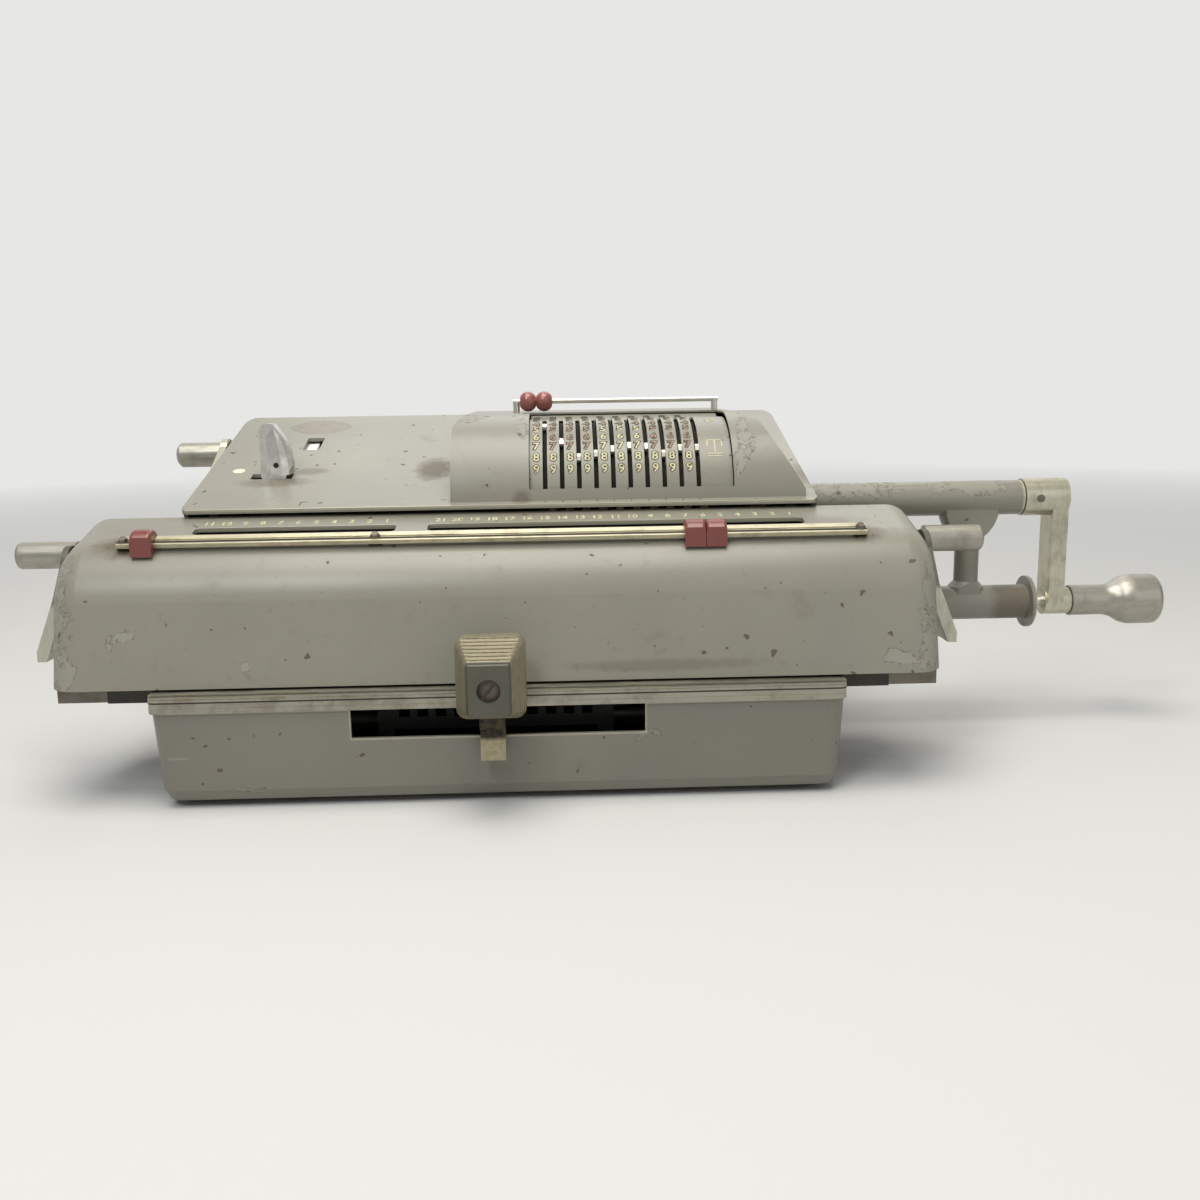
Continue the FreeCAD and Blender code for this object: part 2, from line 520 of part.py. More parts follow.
def make_upper_cover():
    cavity = rod("dome_cavity", "x", ("dome_left + dome_wall", "dome_shoulder - dome_wall"), ("drum_y", "drum_z"),
                 "dome_radius - dome_wall")
    roof = slab("dome_roof", "YZ", [
        ("drum_y - 1", "drum_z"), ("ridge_y + 18", "drum_z"),
        ("ridge_y + 18", plate_z("ridge_y + 18", "0") + " + 1"), ("ridge_y + 6", "drum_z + dome_radius - dome_wall"),
        ("drum_y - 1", "drum_z + dome_radius - dome_wall"),
    ], ("shell_left", "shell_right"))
    window = slab("dome_window", "YZ", [
        polar("dome_radius + 3", "slot_foot_angle + 0.9"),
        (polar("dome_radius + 3", "slot_foot_angle + 0.9")[0], "drum_z + dome_radius + 4"),
        ("ridge_y", "drum_z + dome_radius + 4"),
        ("ridge_y", "drum_z + dome_radius - 4"), ("drum_y", "drum_z + dome_radius * 0.5"),
        polar("dome_radius * 0.6", "slot_foot_angle + 0.9"),
    ], ("shell_left", "shell_right"))
    slot = block("mode_slot", ("mode_slot_left", "mode_slot_right"),
                 ("mode_y - mode_slot_width / 2", "mode_y + mode_slot_width / 2"), ("100", "130"))
    flag = block("flag_window", ("flag_left", "flag_right"), ("flag_front", "flag_rear"), ("110", "150"))
    reset_hole = rod("reset_hole", "x", ("-base_half_width - 1", "-base_half_width + 6"), ("drum_y", "drum_z"),
                     "stub_radius + 0.3")
    tube_hole = rod("tube_hole", "x", ("base_half_width - 6", "base_half_width + 1"), ("drum_y", "drum_z"),
                    "tube_radius + 0.3")
    low_hole = rod("low_tube_hole", "x", ("base_half_width - 6", "base_half_width + 1"),
                   ("drum_y", "drum_z - crank_throw"), "tube_radius + 0.3")
    shell = cut("cover_shell", cover_form("cover_outer", "0", "0"), cover_form("cover_inner", "cover_wall", "3"))
    domed = join("domed_cover", shell, dome_form("dome_outer", "0", "7.2", "cover_wall - 0.4"))
    hollow = overlap("dome_room", dome_form("dome_inner", "dome_wall", "4.5", "cover_wall + 1"),
                     block("dome_room_box", ("-200", "200"), ("0", "base_depth - 12"), ("0", "200")))
    node("upper_cover", cut("upper_cover_shell", domed, cavity, hollow, window, slot, flag, reset_hole, tube_hole,
                            low_hole))


def make_setting_shell():
    """A comb of curved fingers between the slots, held together by the check-window strip behind them."""
    inner = "shell_radius - shell_wall"
    seat_radius = "dome_radius - dome_wall"
    foot, head = "slot_foot_angle", "slot_head_angle"
    strip_y = "ridge_y - 0.3"
    points = [
        (*polar(inner, f"{foot} - 5"), inner, "right"), (*polar(inner, f"{head} + 4"),),
        (*polar(seat_radius, f"{head} + 3.4"),),
        (strip_y, "strip_rear_z - shell_wall"), (strip_y, "strip_rear_z"),
        (*polar(f"{seat_radius} + 0.4", f"{head} + 1"),), (*polar("shell_radius", head), "shell_radius", "left"),
        (*polar("shell_radius", foot),), (*polar(seat_radius, f"{foot} - 1.6"),), (*polar(seat_radius, f"{foot} - 5"),),
    ]
    body = slab("shell_body", "YZ", points, ("shell_left + 0.15", "shell_right - 0.15"))
    slots = []
    for place in range(slot_count):
        middle = f"slot_first_x + {place} * digit_pitch"
        slots.append(rod(f"slot_{place}", "x", (f"{middle} - slot_width / 2", f"{middle} + slot_width / 2"),
                         ("drum_y", "drum_z"), seat_radius))
        slots.append(rod(f"check_hole_{place}", "z", ("strip_rear_z - 4", "strip_rear_z + 2"),
                         (f"{middle} - digit_pitch / 2", "ridge_y - 3.4"), "check_window_radius"))
    node("setting_shell", cut("shell_comb", body, *slots))


def make_rear_marker_rail():
    bar = rod("rear_rod", "x", ("rear_rod_left", "rear_rod_right"), ("rear_rod_y", "rear_rod_z"), "rear_rod_radius")
    posts = []
    for number, x in enumerate(("rear_rod_left + 1.5", "rear_rod_right - 1.5")):
        posts.append(rod(f"rear_post_{number}", "z", ("drum_z + dome_radius", "rear_rod_z"), (x, "rear_rod_y"),
                         "rear_post_radius"))
    node("rear_marker_rail", join("rear_rail", bar, *posts))
    for number, x in (("1", "bead_one_x"), ("2", "bead_two_x")):
        half, radius = "bead_width / 2", "bead_radius"
        bore = "rear_rod_radius + running_gap"
        crown = f"((({half}) ^ 2 + bead_crown ^ 2) / (2 * bead_crown))"
        bead = turned(f"bead_{number}", "x", [
            (f"-{half}", bore), (half, bore), (half, f"{radius} - bead_crown", crown, "left"),
            (f"-{half}", f"{radius} - bead_crown"),
        ], ("rear_rod_y", "rear_rod_z"))
        seat(bead, x, "rear_rod_y", "rear_rod_z")
        node(f"rear_bead_{number}", bead)


# Crank, pinwheels and setting levers

def make_crank_shaft():
    centre = ("drum_y", "drum_z")
    start = "-reset_arm_start - reset_arm_thickness - 4"
    shaft = rod("shaft_rod", "x", (start, "arm_outer"), centre, "shaft_radius")
    node("crank_shaft", join("shaft", shaft, rod("shaft_collar", "x", ("-frame_inner + 2.3", "-frame_inner + 4.6"),
                                                 centre, "hub_radius + 1")))
    arm_bottom = "drum_z - crank_throw"
    web = block("arm_web", ("arm_inner", "arm_outer"), ("drum_y - arm_width / 2", "drum_y + arm_width / 2"),
                (arm_bottom, "drum_z"))
    top = rod("arm_top", "x", ("arm_inner", "arm_outer"), centre, "crank_hub_radius")
    hub = rod("arm_hub", "x", ("hub_start", "arm_inner"), centre, "crank_hub_radius")
    boss = rod("arm_boss", "x", ("arm_inner - 0.6", "boss_end"), ("drum_y", arm_bottom), "boss_radius")
    solid = join("arm_solid", web, top, hub, boss)
    bore = rod("arm_bore", "x", ("hub_start - 1", "arm_outer + 1"), centre, "shaft_radius")
    eye = rod("arm_eye", "x", ("arm_inner - 3", "boss_end + 1"), ("drum_y", arm_bottom), "spindle_radius + running_gap")
    pin_x = "(hub_start + arm_inner) / 2"
    pin_span = ("drum_y - crank_hub_radius - 0.5", "drum_y + crank_hub_radius + 0.5")
    pin_hole = rod("arm_pin_hole", "y", pin_span, (pin_x, "drum_z"), "cross_pin_radius")
    node("crank_arm", cut("arm", solid, bore, eye, pin_hole))
    pins = []
    for number, span in enumerate((("drum_y - crank_hub_radius - 0.4", "drum_y - shaft_radius"),
                                   ("drum_y + shaft_radius", "drum_y + crank_hub_radius + 0.4"))):
        pins.append(rod(f"cross_pin_{number}", "y", span, (pin_x, "drum_z"), "cross_pin_radius"))
    node("crank_arm_pin", *pins)


def make_grip():
    """The grip turns on a spindle that carries the locking pin; it is drawn pulled out, just clear of its socket.
    When it goes in, the sleeve at its neck slides over the arm's boss."""
    centre = ("drum_y", "drum_z - crank_throw")
    tip = "socket_face + lock_gap"
    spindle = turned("spindle", "x", [
        (tip, "0"), (tip, "lock_pin_radius * 0.5"), (f"{tip} + 3", "lock_pin_radius"),
        ("arm_inner - 1.4", "lock_pin_radius"), ("arm_inner - 1.4", "spindle_radius"),
        ("grip_start + spindle_depth", "spindle_radius"), ("grip_start + spindle_depth", "0"),
    ], centre)
    node("grip_spindle", spindle)
    end, head, neck = "grip_end", "(grip_end - grip_head)", "(grip_start + grip_neck)"
    rise, run = "((grip_end_radius - grip_neck_radius) / 2)", f"(({head} - {neck}) / 2)"
    curve = f"(({rise} ^ 2 + {run} ^ 2) / (2 * {rise}))"
    grip = turned("grip", "x", [
        ("grip_start", "boss_radius + sleeve_gap"), ("grip_start + sleeve_depth", "boss_radius + sleeve_gap"),
        ("grip_start + sleeve_depth", "spindle_radius"), ("grip_start + spindle_depth", "spindle_radius"),
        ("grip_start + spindle_depth", "0"), (end, "0"), (end, "grip_end_radius - grip_round", "grip_round", "left"),
        (f"{end} - grip_round", "grip_end_radius"), (head, "grip_end_radius", curve, "left"),
        (f"{head} - {run}", f"grip_neck_radius + {rise}", curve, "right"), (neck, "grip_neck_radius"),
        ("grip_start + 0.3", "grip_neck_radius"), ("grip_start", "grip_neck_radius - 0.3"),
    ], centre)
    node("crank_grip", grip)


def make_pinwheels():
    """Each wheel is a disc with a hub under its setting lever and nine pins, as many of them out as its digit."""
    centre = ("drum_y", "drum_z")
    wheels = []
    for place in range(slot_count):
        middle = f"slot_first_x + {place} * digit_pitch"
        disc_start = f"{middle} + pinwheel_offset"
        disc_end = f"{disc_start} + pinwheel_width"
        disc = rod(f"pinwheel_disc_{place}", "x", (disc_start, disc_end), centre, "pinwheel_radius")
        hub = rod(f"pinwheel_hub_{place}", "x", (f"{disc_end} - digit_pitch", disc_start), centre, "hub_radius")
        bore = rod(f"pinwheel_bore_{place}", "x", (f"{disc_end} - digit_pitch - 1", f"{disc_end} + 1"), centre,
                   "shaft_radius")
        pins = []
        for pin in range(pins_per_wheel):
            angle = f"150 + {pin} * step_angle"
            reach = "pin_out" if pin < round(lever_digits[place]) else "pin_in"
            tooth = doc.addObject("Part::Box", f"pin_{place}_{pin}")
            bind(tooth, "Length", "pinwheel_width - 1")
            bind(tooth, "Width", "pin_width")
            bind(tooth, "Height", f"{reach} - pinwheel_radius + 2")
            tooth.Placement = FreeCAD.Placement(FreeCAD.Vector(), FreeCAD.Rotation(FreeCAD.Vector(1, 0, 0), 45))
            bind(tooth, "Placement.Rotation.Angle", f"90 - ({angle})")
            y, z = polar("pinwheel_radius - 2", angle)
            turn = f"(90 - ({angle}))"
            seat(tooth, f"{disc_start} + 0.5", f"{y} - pin_width / 2 * cos({turn})", f"{z} - pin_width / 2 * sin({turn})")
            pins.append(tooth)
        wheels.append(cut(f"pinwheel_{place}", join(f"pinwheel_solid_{place}", disc, hub, *pins), bore))
    node("pinwheels", *wheels)


def make_drive_gear():
    centre = ("drum_y", "drum_z")
    span = ("drive_gear_x", "drive_gear_x + drive_gear_width")
    wheel = rod("drive_disc", "x", span, centre, "drive_gear_radius")
    hub = rod("drive_hub", "x", ("drive_gear_x", "frame_inner - 2.4"), centre, "hub_radius + 2")
    gaps = []
    for tooth in range(20):
        angle = f"{tooth} * 18"
        gaps.append(rod(f"drive_gap_{tooth}", "x", span, polar("drive_gear_radius + 0.6", angle), "2.4"))
    bore = rod("drive_bore", "x", ("drive_gear_x - 1", "frame_inner"), centre, "shaft_radius")
    node("drive_gear", cut("drive_wheel", join("drive_solid", wheel, hub), bore, *gaps))


def make_setting_levers():
    """A ring on the pinwheel's hub with a narrow tip that stands out of its slot."""
    centre = ("drum_y", "drum_z")
    for place in range(slot_count):
        middle = f"slot_first_x + {place} * digit_pitch"
        span = (f"{middle} - lever_thickness / 2", f"{middle} + lever_thickness / 2")
        angle = f"(nine_angle + (9 - {lever_digits[place]}) * step_angle)"
        ring = rod(f"lever_disc_{place}", "x", span, centre, "lever_radius")
        bore = rod(f"lever_bore_{place}", "x", span, centre, "hub_radius + running_gap")
        tip = slab(f"lever_tip_{place}", "YZ", [
            polar("lever_radius - 1", f"{angle} - tip_angle * 0.6"), polar("tip_radius - 0.5", f"{angle} - tip_angle / 2"),
            polar("tip_radius", angle), polar("tip_radius - 0.5", f"{angle} + tip_angle / 2"),
            polar("lever_radius - 1", f"{angle} + tip_angle * 0.6"),
        ], span)
        node(f"setting_lever_{place + 1}", cut(f"lever_{place}", join(f"lever_solid_{place}", ring, tip), bore))


def make_crank_bracket():
    """Two tubes joined by a flared post; the lower tube ends in the flanged socket of the locking pin."""
    low_z = "drum_z - crank_throw"
    start = "frame_inner + frame_thickness"
    upper = rod("upper_tube", "x", (start, "tube_end"), ("drum_y", "drum_z"), "tube_radius")
    lower = rod("lower_tube", "x", (start, "socket_face - socket_thickness"), ("drum_y", low_z), "tube_radius")
    flange = rod("socket_flange", "x", ("socket_face - socket_thickness", "socket_face"), ("drum_y", low_z),
                 "socket_radius")
    post = turned("bracket_post", "z", [
        (low_z, "0"), (low_z, "post_radius + 2.4"), (f"{low_z} + tube_radius", "post_radius + 2.4"),
        (f"{low_z} + tube_radius + 2.5", "post_radius"), ("drum_z - tube_radius - post_flare", "post_radius", "post_flare * 1.6", "left"),
        ("drum_z - tube_radius + 1.5", "post_radius + post_flare * 0.7"), ("drum_z", "post_radius + post_flare * 0.7"), ("drum_z", "0"),
    ], ("post_x", "drum_y"))
    width = block("post_trim", ("post_x - 30", "post_x + 30"), ("drum_y - tube_radius * 0.8", "drum_y + tube_radius * 0.8"),
                  (low_z, "drum_z"))
    solid = join("bracket_solid", upper, lower, flange, overlap("post_trimmed", post, width))
    bore = rod("tube_bore", "x", (f"{start} - 1", "tube_end + 1"), ("drum_y", "drum_z"), "shaft_radius + running_gap")
    socket = rod("socket_bore", "x", ("socket_face - 8", "socket_face + 1"), ("drum_y", low_z), "socket_hole")
    node("crank_bracket", cut("bracket", solid, bore, socket))


# Carriage

def nose_corner(inset):
    """Where the carriage's top line and its front line would meet."""
    top = f"(carriage_rear_z - ({inset}) / cos(carriage_slope))"
    front = f"(carriage_front_y + ({inset}) / cos(carriage_draft))"
    slope, draft = "tan(carriage_slope)", "tan(carriage_draft)"
    z = f"(({top} + {slope} * ({front} - {draft} * carriage_bottom - carriage_rear_y)) / (1 - {slope} * {draft}))"
    return top, front, (f"{front} + {draft} * ({z} - carriage_bottom)", z)


def carriage_form(name, inset, open_by):
    """The rounded section of the carriage, padded along X, with rounded ends; open_by carries it past its openings."""
    top, front, corner = nose_corner(inset)
    slope, draft = "tan(carriage_slope)", "tan(carriage_draft)"
    half = f"(carriage_half_width - ({inset}))"
    body = slab(name, "YZ", [
        (f"{front} - {draft} * ({open_by})", f"carriage_bottom - ({open_by})"),
        (f"carriage_rear_y + ({open_by})", f"carriage_bottom - ({open_by})"),
        (f"carriage_rear_y + ({open_by})", f"{top} + {slope} * ({open_by})"), corner,
    ], (f"-{half}", half))
    nose_y, nose_z = value(corner[0]), value(corner[1])
    round_edges(body, f"nose_radius - ({inset})", lambda edge: edge.Length > value(half) and math.hypot(
        edge.CenterOfMass.y - nose_y, edge.CenterOfMass.z - nose_z) < 0.1)
    side = value(half)
    rear, low = value("carriage_rear_y") + value(open_by), value("carriage_bottom") - value(open_by)

    def end_edge(edge):
        middle = edge.CenterOfMass
        at_end = abs(edge.BoundBox.XLength) < 0.01 and min(abs(middle.x), abs(middle.x - 2 * side)) < 0.1
        return at_end and middle.y < rear - 0.1 and middle.z > low + 0.1

    round_edges(body, f"carriage_edge - ({inset})", end_edge)
    return body


def make_carriage_cover():
    shell = cut("carriage_shell", carriage_form("carriage_outer", "0", "0"),
                carriage_form("carriage_inner", "carriage_wall", "3"))
    openings = []
    for name, first, count in (("counter", "counter_first_x", counter_count), ("result", "result_first_x", result_count)):
        span = (f"{first} - window_margin", f"{first} + {count - 1} * digit_pitch + window_margin")
        depth = (on_slope("window_far", "0")[0], on_slope("window_near", "0")[0])
        openings.append(slab(f"{name}_opening", "XY", window(span, depth, "window_corner"),
                             ("carriage_rear_z - 14", "carriage_rear_z + 2")))
    for side, span in (("left", ("-carriage_half_width - 1", "-carriage_half_width + 9")),
                       ("right", ("carriage_half_width - 9", "carriage_half_width + 1"))):
        openings.append(rod(f"{side}_shaft_opening", "x", span, ("register_y", "register_z"), "register_shaft_radius + 1"))
    openings.append(block("handle_notch", ("handle_x - handle_arm_half - 0.6", "handle_x + handle_arm_half + 0.6"),
                          ("carriage_front_y - 3", "carriage_front_y + 6"), ("carriage_bottom - 1", "carriage_bottom + 4")))
    node("carriage_cover", cut("carriage_cover_shell", shell, *openings))
    for name, first, count in (("counter", "counter_first_x", counter_count), ("result", "result_first_x", result_count)):
        span = (f"{first} - window_margin - 1", f"{first} + {count - 1} * digit_pitch + window_margin + 1")
        top, bottom = "strip_depth + carriage_wall", "strip_depth + carriage_wall + strip_thickness"
        plate = slab(f"{name}_strip_plate", "YZ", [
            on_slope("window_near - 2", top), on_slope("window_near - 2", bottom),
            on_slope("window_far + 2", bottom), on_slope("window_far + 2", top),
        ], span)
        lips = []
        for edge, (near, far) in enumerate((("window_near - 2", "window_near - 1.2"), ("window_far + 1.2", "window_far + 2"))):
            lips.append(slab(f"{name}_strip_lip_{edge}", "YZ", [
                on_slope(near, "carriage_wall"), on_slope(near, bottom), on_slope(far, bottom), on_slope(far, "carriage_wall"),
            ], span))
        holes = []
        middle = "(window_near + window_far) / 2"
        for place in range(count):
            hole = rod(f"{name}_digit_hole_{place}", "z", ("-4", "4"), (f"{first} + {place} * digit_pitch", "0"), "digit_window_radius")
            hole.Placement = FreeCAD.Placement(FreeCAD.Vector(), FreeCAD.Rotation(FreeCAD.Vector(1, 0, 0), 15))
            bind(hole, "Placement.Rotation.Angle", "carriage_slope")
            y, z = on_slope(middle, bottom + " + 4")
            seat(hole, f"{first} + {place} * digit_pitch", y, z)
            holes.append(hole)
        node(f"{name}_window_strip", cut(f"{name}_strip", join(f"{name}_strip_solid", plate, *lips), *holes))


def make_carriage_frame():
    points = [
        ("14", "carriage_bottom"), ("slide_rod_y + 5", "carriage_bottom"), ("slide_rod_y + 5", "slide_rod_z + 8"),
        ("transfer_y + 6", "transfer_z - 8"), ("transfer_y + 6", "transfer_z + 7"),
        ("carriage_rear_y - 0.6", "transfer_z + 15"),
        ("carriage_rear_y - 0.6", "carriage_rear_z - carriage_wall - 4.2"),
        on_slope("21", "carriage_wall + 3.6"), ("24", "84"), ("18", "75"),
    ]
    shoe_points = rectangle(("rail_front + rail_depth + 0.6", "50"), ("shoe_bottom", "carriage_bottom"))
    for side in ("left", "right"):
        outer = "end_plate_x + end_plate_thickness"
        span = (f"-({outer})", "-end_plate_x") if side == "left" else ("end_plate_x", outer)
        shoe_span = ("-shoe_outer", "-shoe_inner") if side == "left" else ("shoe_inner", "shoe_outer")
        plate = slab(f"{side}_end_sheet", "YZ", points, span)
        shoe = slab(f"{side}_shoe", "YZ", shoe_points, shoe_span)
        holes = [
            rod(f"{side}_end_shaft_hole", "x", span, ("register_y", "register_z"), "register_shaft_radius + running_gap"),
            rod(f"{side}_end_transfer_hole", "x", span, ("transfer_y", "transfer_z"), "transfer_shaft_radius + running_gap"),
            rod(f"{side}_end_rod_hole", "x", span, ("slide_rod_y", "slide_rod_z"), "slide_rod_radius"),
        ]
        node(f"carriage_{side}_plate", cut(f"{side}_end", join(f"{side}_end_solid", plate, shoe), *holes))
    middle_rear = "transfer_y - transfer_shaft_radius - 0.6"
    middle_span = ("middle_plate_x", "middle_plate_x + middle_plate_thickness")
    middle = slab("middle_sheet", "YZ", [
        ("12", "runner_top"), (middle_rear, "runner_top"), (middle_rear, "carriage_rear_z - 7"),
        on_slope("21", "carriage_wall + 5"), ("24", "80"),
    ], middle_span)
    middle_hole = rod("middle_shaft_hole", "x", middle_span, ("register_y", "register_z"), "register_shaft_radius + running_gap")
    node("carriage_middle_plate", cut("middle_plate", middle, middle_hole))
    node("carriage_slide_rod", rod("slide_rod", "x", ("-end_plate_x - end_plate_thickness", "end_plate_x + end_plate_thickness"),
                                   ("slide_rod_y", "slide_rod_z"), "slide_rod_radius"))
    rear = "rail_front + rail_depth + 0.6"
    runner = slab("runner", "YZ", [
        ("carriage_front_y + carriage_wall + 1.5", "rail_top + runner_lift"), (rear, "rail_top + runner_lift"),
        (rear, "base_top + 0.5"), (f"{rear} + runner_thickness", "base_top + 0.5"), (f"{rear} + runner_thickness", "runner_top"),
        ("carriage_front_y + carriage_wall + 1.5", "runner_top"),
    ], ("-shoe_inner", "shoe_inner"))
    arm = block("handle_arm", ("handle_x - handle_arm_half", "handle_x + handle_arm_half"),
                ("handle_pivot_y - 2.5", "carriage_front_y + carriage_wall + 6"), ("rail_top + 0.8", "rail_top + 3.5"))
    ear = block("handle_ear", ("handle_x - handle_arm_half", "handle_x + handle_arm_half"),
                ("handle_pivot_y - 2.5", "handle_pivot_y + 2.5"), ("rail_top + 0.8", "handle_pivot_z + 2.5"))
    pin = rod("handle_pin", "x", ("handle_x - handle_back_half + 3", "handle_x + handle_back_half - 3"),
              ("handle_pivot_y", "handle_pivot_z"), "handle_pin_radius")
    node("carriage_runner", join("runner_solid", runner, arm, ear, pin))


def make_registers():
    for name, first, count, ends in (
            ("result", "result_first_x", result_count, ("middle_plate_x + middle_plate_thickness / 2 + 0.1", "clear_arm_start + clear_arm_thickness + 1.2")),
            ("counter", "counter_first_x", counter_count, ("-clear_arm_start - clear_arm_thickness - 1.2", "middle_plate_x + middle_plate_thickness / 2 - 0.1"))):
        centre = ("register_y", "register_z")
        node(f"{name}_shaft", rod(f"{name}_shaft_rod", "x", ends, centre, "register_shaft_radius"))
        wheels = []
        for place in range(count):
            middle = f"{first} + {place} * digit_pitch"
            drum = rod(f"{name}_drum_{place}", "x", (f"{middle} - wheel_width / 2", f"{middle} + wheel_width / 2"), centre, "wheel_radius")
            gear = rod(f"{name}_gear_{place}", "x", (f"{middle} + wheel_width / 2", f"{middle} + wheel_width / 2 + wheel_gear_width"),
                       centre, "wheel_gear_radius")
            bore = rod(f"{name}_bore_{place}", "x", (f"{middle} - 5", f"{middle} + 6"), centre, "register_shaft_radius")
            wheels.append(cut(f"{name}_wheel_{place}", join(f"{name}_wheel_solid_{place}", drum, gear), bore))
        node(f"{name}_wheels", *wheels)
    centre = ("transfer_y", "transfer_z")
    shaft = rod("transfer_rod", "x", ("-end_plate_x - end_plate_thickness", "end_plate_x + end_plate_thickness"), centre, "transfer_shaft_radius")
    gears = []
    for place in range(result_count):
        start = f"result_first_x + {place} * digit_pitch + wheel_width / 2 + 0.1"
        gears.append(rod(f"transfer_gear_{place}", "x", (start, f"{start} + transfer_width"), centre, "transfer_radius"))
    node("transfer_gears", join("transfer_train", shaft, *gears))


def make_markers():
    span = ("marker_strip_left", "marker_strip_right")

    def tilted(name, along, across, up):
        """A box square to the strip: across and up are measured from the strip's middle, in its tilted frame."""
        part = doc.addObject("Part::Box", name)
        bind(part, "Length", f"({along[1]}) - ({along[0]})")
        bind(part, "Width", f"({across[1]}) - ({across[0]})")
        bind(part, "Height", f"({up[1]}) - ({up[0]})")
        part.Placement = FreeCAD.Placement(FreeCAD.Vector(), FreeCAD.Rotation(FreeCAD.Vector(1, 0, 0), 29))
        bind(part, "Placement.Rotation.Angle", "marker_tilt")
        return seat(part, along[0], f"marker_strip_y + ({across[0]}) * cos(marker_tilt) - ({up[0]}) * sin(marker_tilt)",
                    f"marker_strip_z + ({across[0]}) * sin(marker_tilt) + ({up[0]}) * cos(marker_tilt)")

    half_width, half_thick = "marker_strip_width / 2", "marker_strip_thickness / 2"
    bar = tilted("marker_bar", span, (f"-{half_width}", half_width), (f"-{half_thick}", half_thick))
    groove = tilted("marker_groove", span, ("-0.4", "0.4"), (f"{half_thick} - 0.5", f"{half_thick} + 1"))
    posts = []
    for number, x in enumerate(("marker_strip_left + 2.2", "marker_post_x", "marker_strip_right - 2.2")):
        posts.append(tilted(f"marker_post_{number}", (f"{x} - 2.6", f"{x} + 2.6"), ("-1.6", "1.6"),
                            ("-marker_lift", "0")))
    node("front_marker_strip", join("marker_rail", cut("marker_strip", bar, groove), *posts))
    screws = []
    for number, x in enumerate(("marker_strip_left + 2.2", "marker_post_x", "marker_strip_right - 2.2")):
        screw = rod(f"strip_screw_{number}", "z", ("0", "1.2"), (x, "0"), "small_screw_radius", "small_screw_radius * 0.7")
        screw.Placement = FreeCAD.Placement(FreeCAD.Vector(), FreeCAD.Rotation(FreeCAD.Vector(1, 0, 0), 29))
        bind(screw, "Placement.Rotation.Angle", "marker_tilt")
        seat(screw, x, f"marker_strip_y - ({half_thick}) * sin(marker_tilt)", f"marker_strip_z + ({half_thick}) * cos(marker_tilt)")
        screws.append(screw)
    node("marker_strip_screws", *screws)
    def at_crown(edge):
        return edge.BoundBox.XLength < 0.01 and edge.CenterOfMass.z > value("marker_strip_z")

    for number, x in (("1", "marker_one_x"), ("2", "marker_two_x"), ("3", "marker_three_x")):
        reach = (f"{x} - marker_width / 2", f"{x} + marker_width / 2")
        wall, gap = "marker_wall", "marker_gap"
        shape = round_edges(slab(f"marker_block_{number}", "YZ", marker_section(), reach), "marker_round", at_crown)
        slot = tilted(f"marker_slot_{number}", reach, (f"-{half_width} - {gap}", f"{half_width} + {gap}"),
                      (f"-{half_thick} - {gap} - 6", f"{half_thick} + {gap}"))
        node(f"front_marker_{number}", cut(f"marker_{number}", shape, slot))


def marker_section():
    """A saddle over the strip: rounded on top, with an apron that leans forward over the carriage."""
    half, wall = "marker_strip_width / 2", "marker_wall"

    def spot(across, up):
        return (f"marker_strip_y + ({across}) * cos(marker_tilt) - ({up}) * sin(marker_tilt)",
                f"marker_strip_z + ({across}) * sin(marker_tilt) + ({up}) * cos(marker_tilt)")

    return [
        spot(f"-{half} - marker_apron", "-1.9"), spot(f"{half} + {wall}", "-1.9"),
        (*spot(f"{half} + {wall}", "1.0"), "6.6", "left"), spot(f"-{half} - 1.2", "4.9"),
    ]


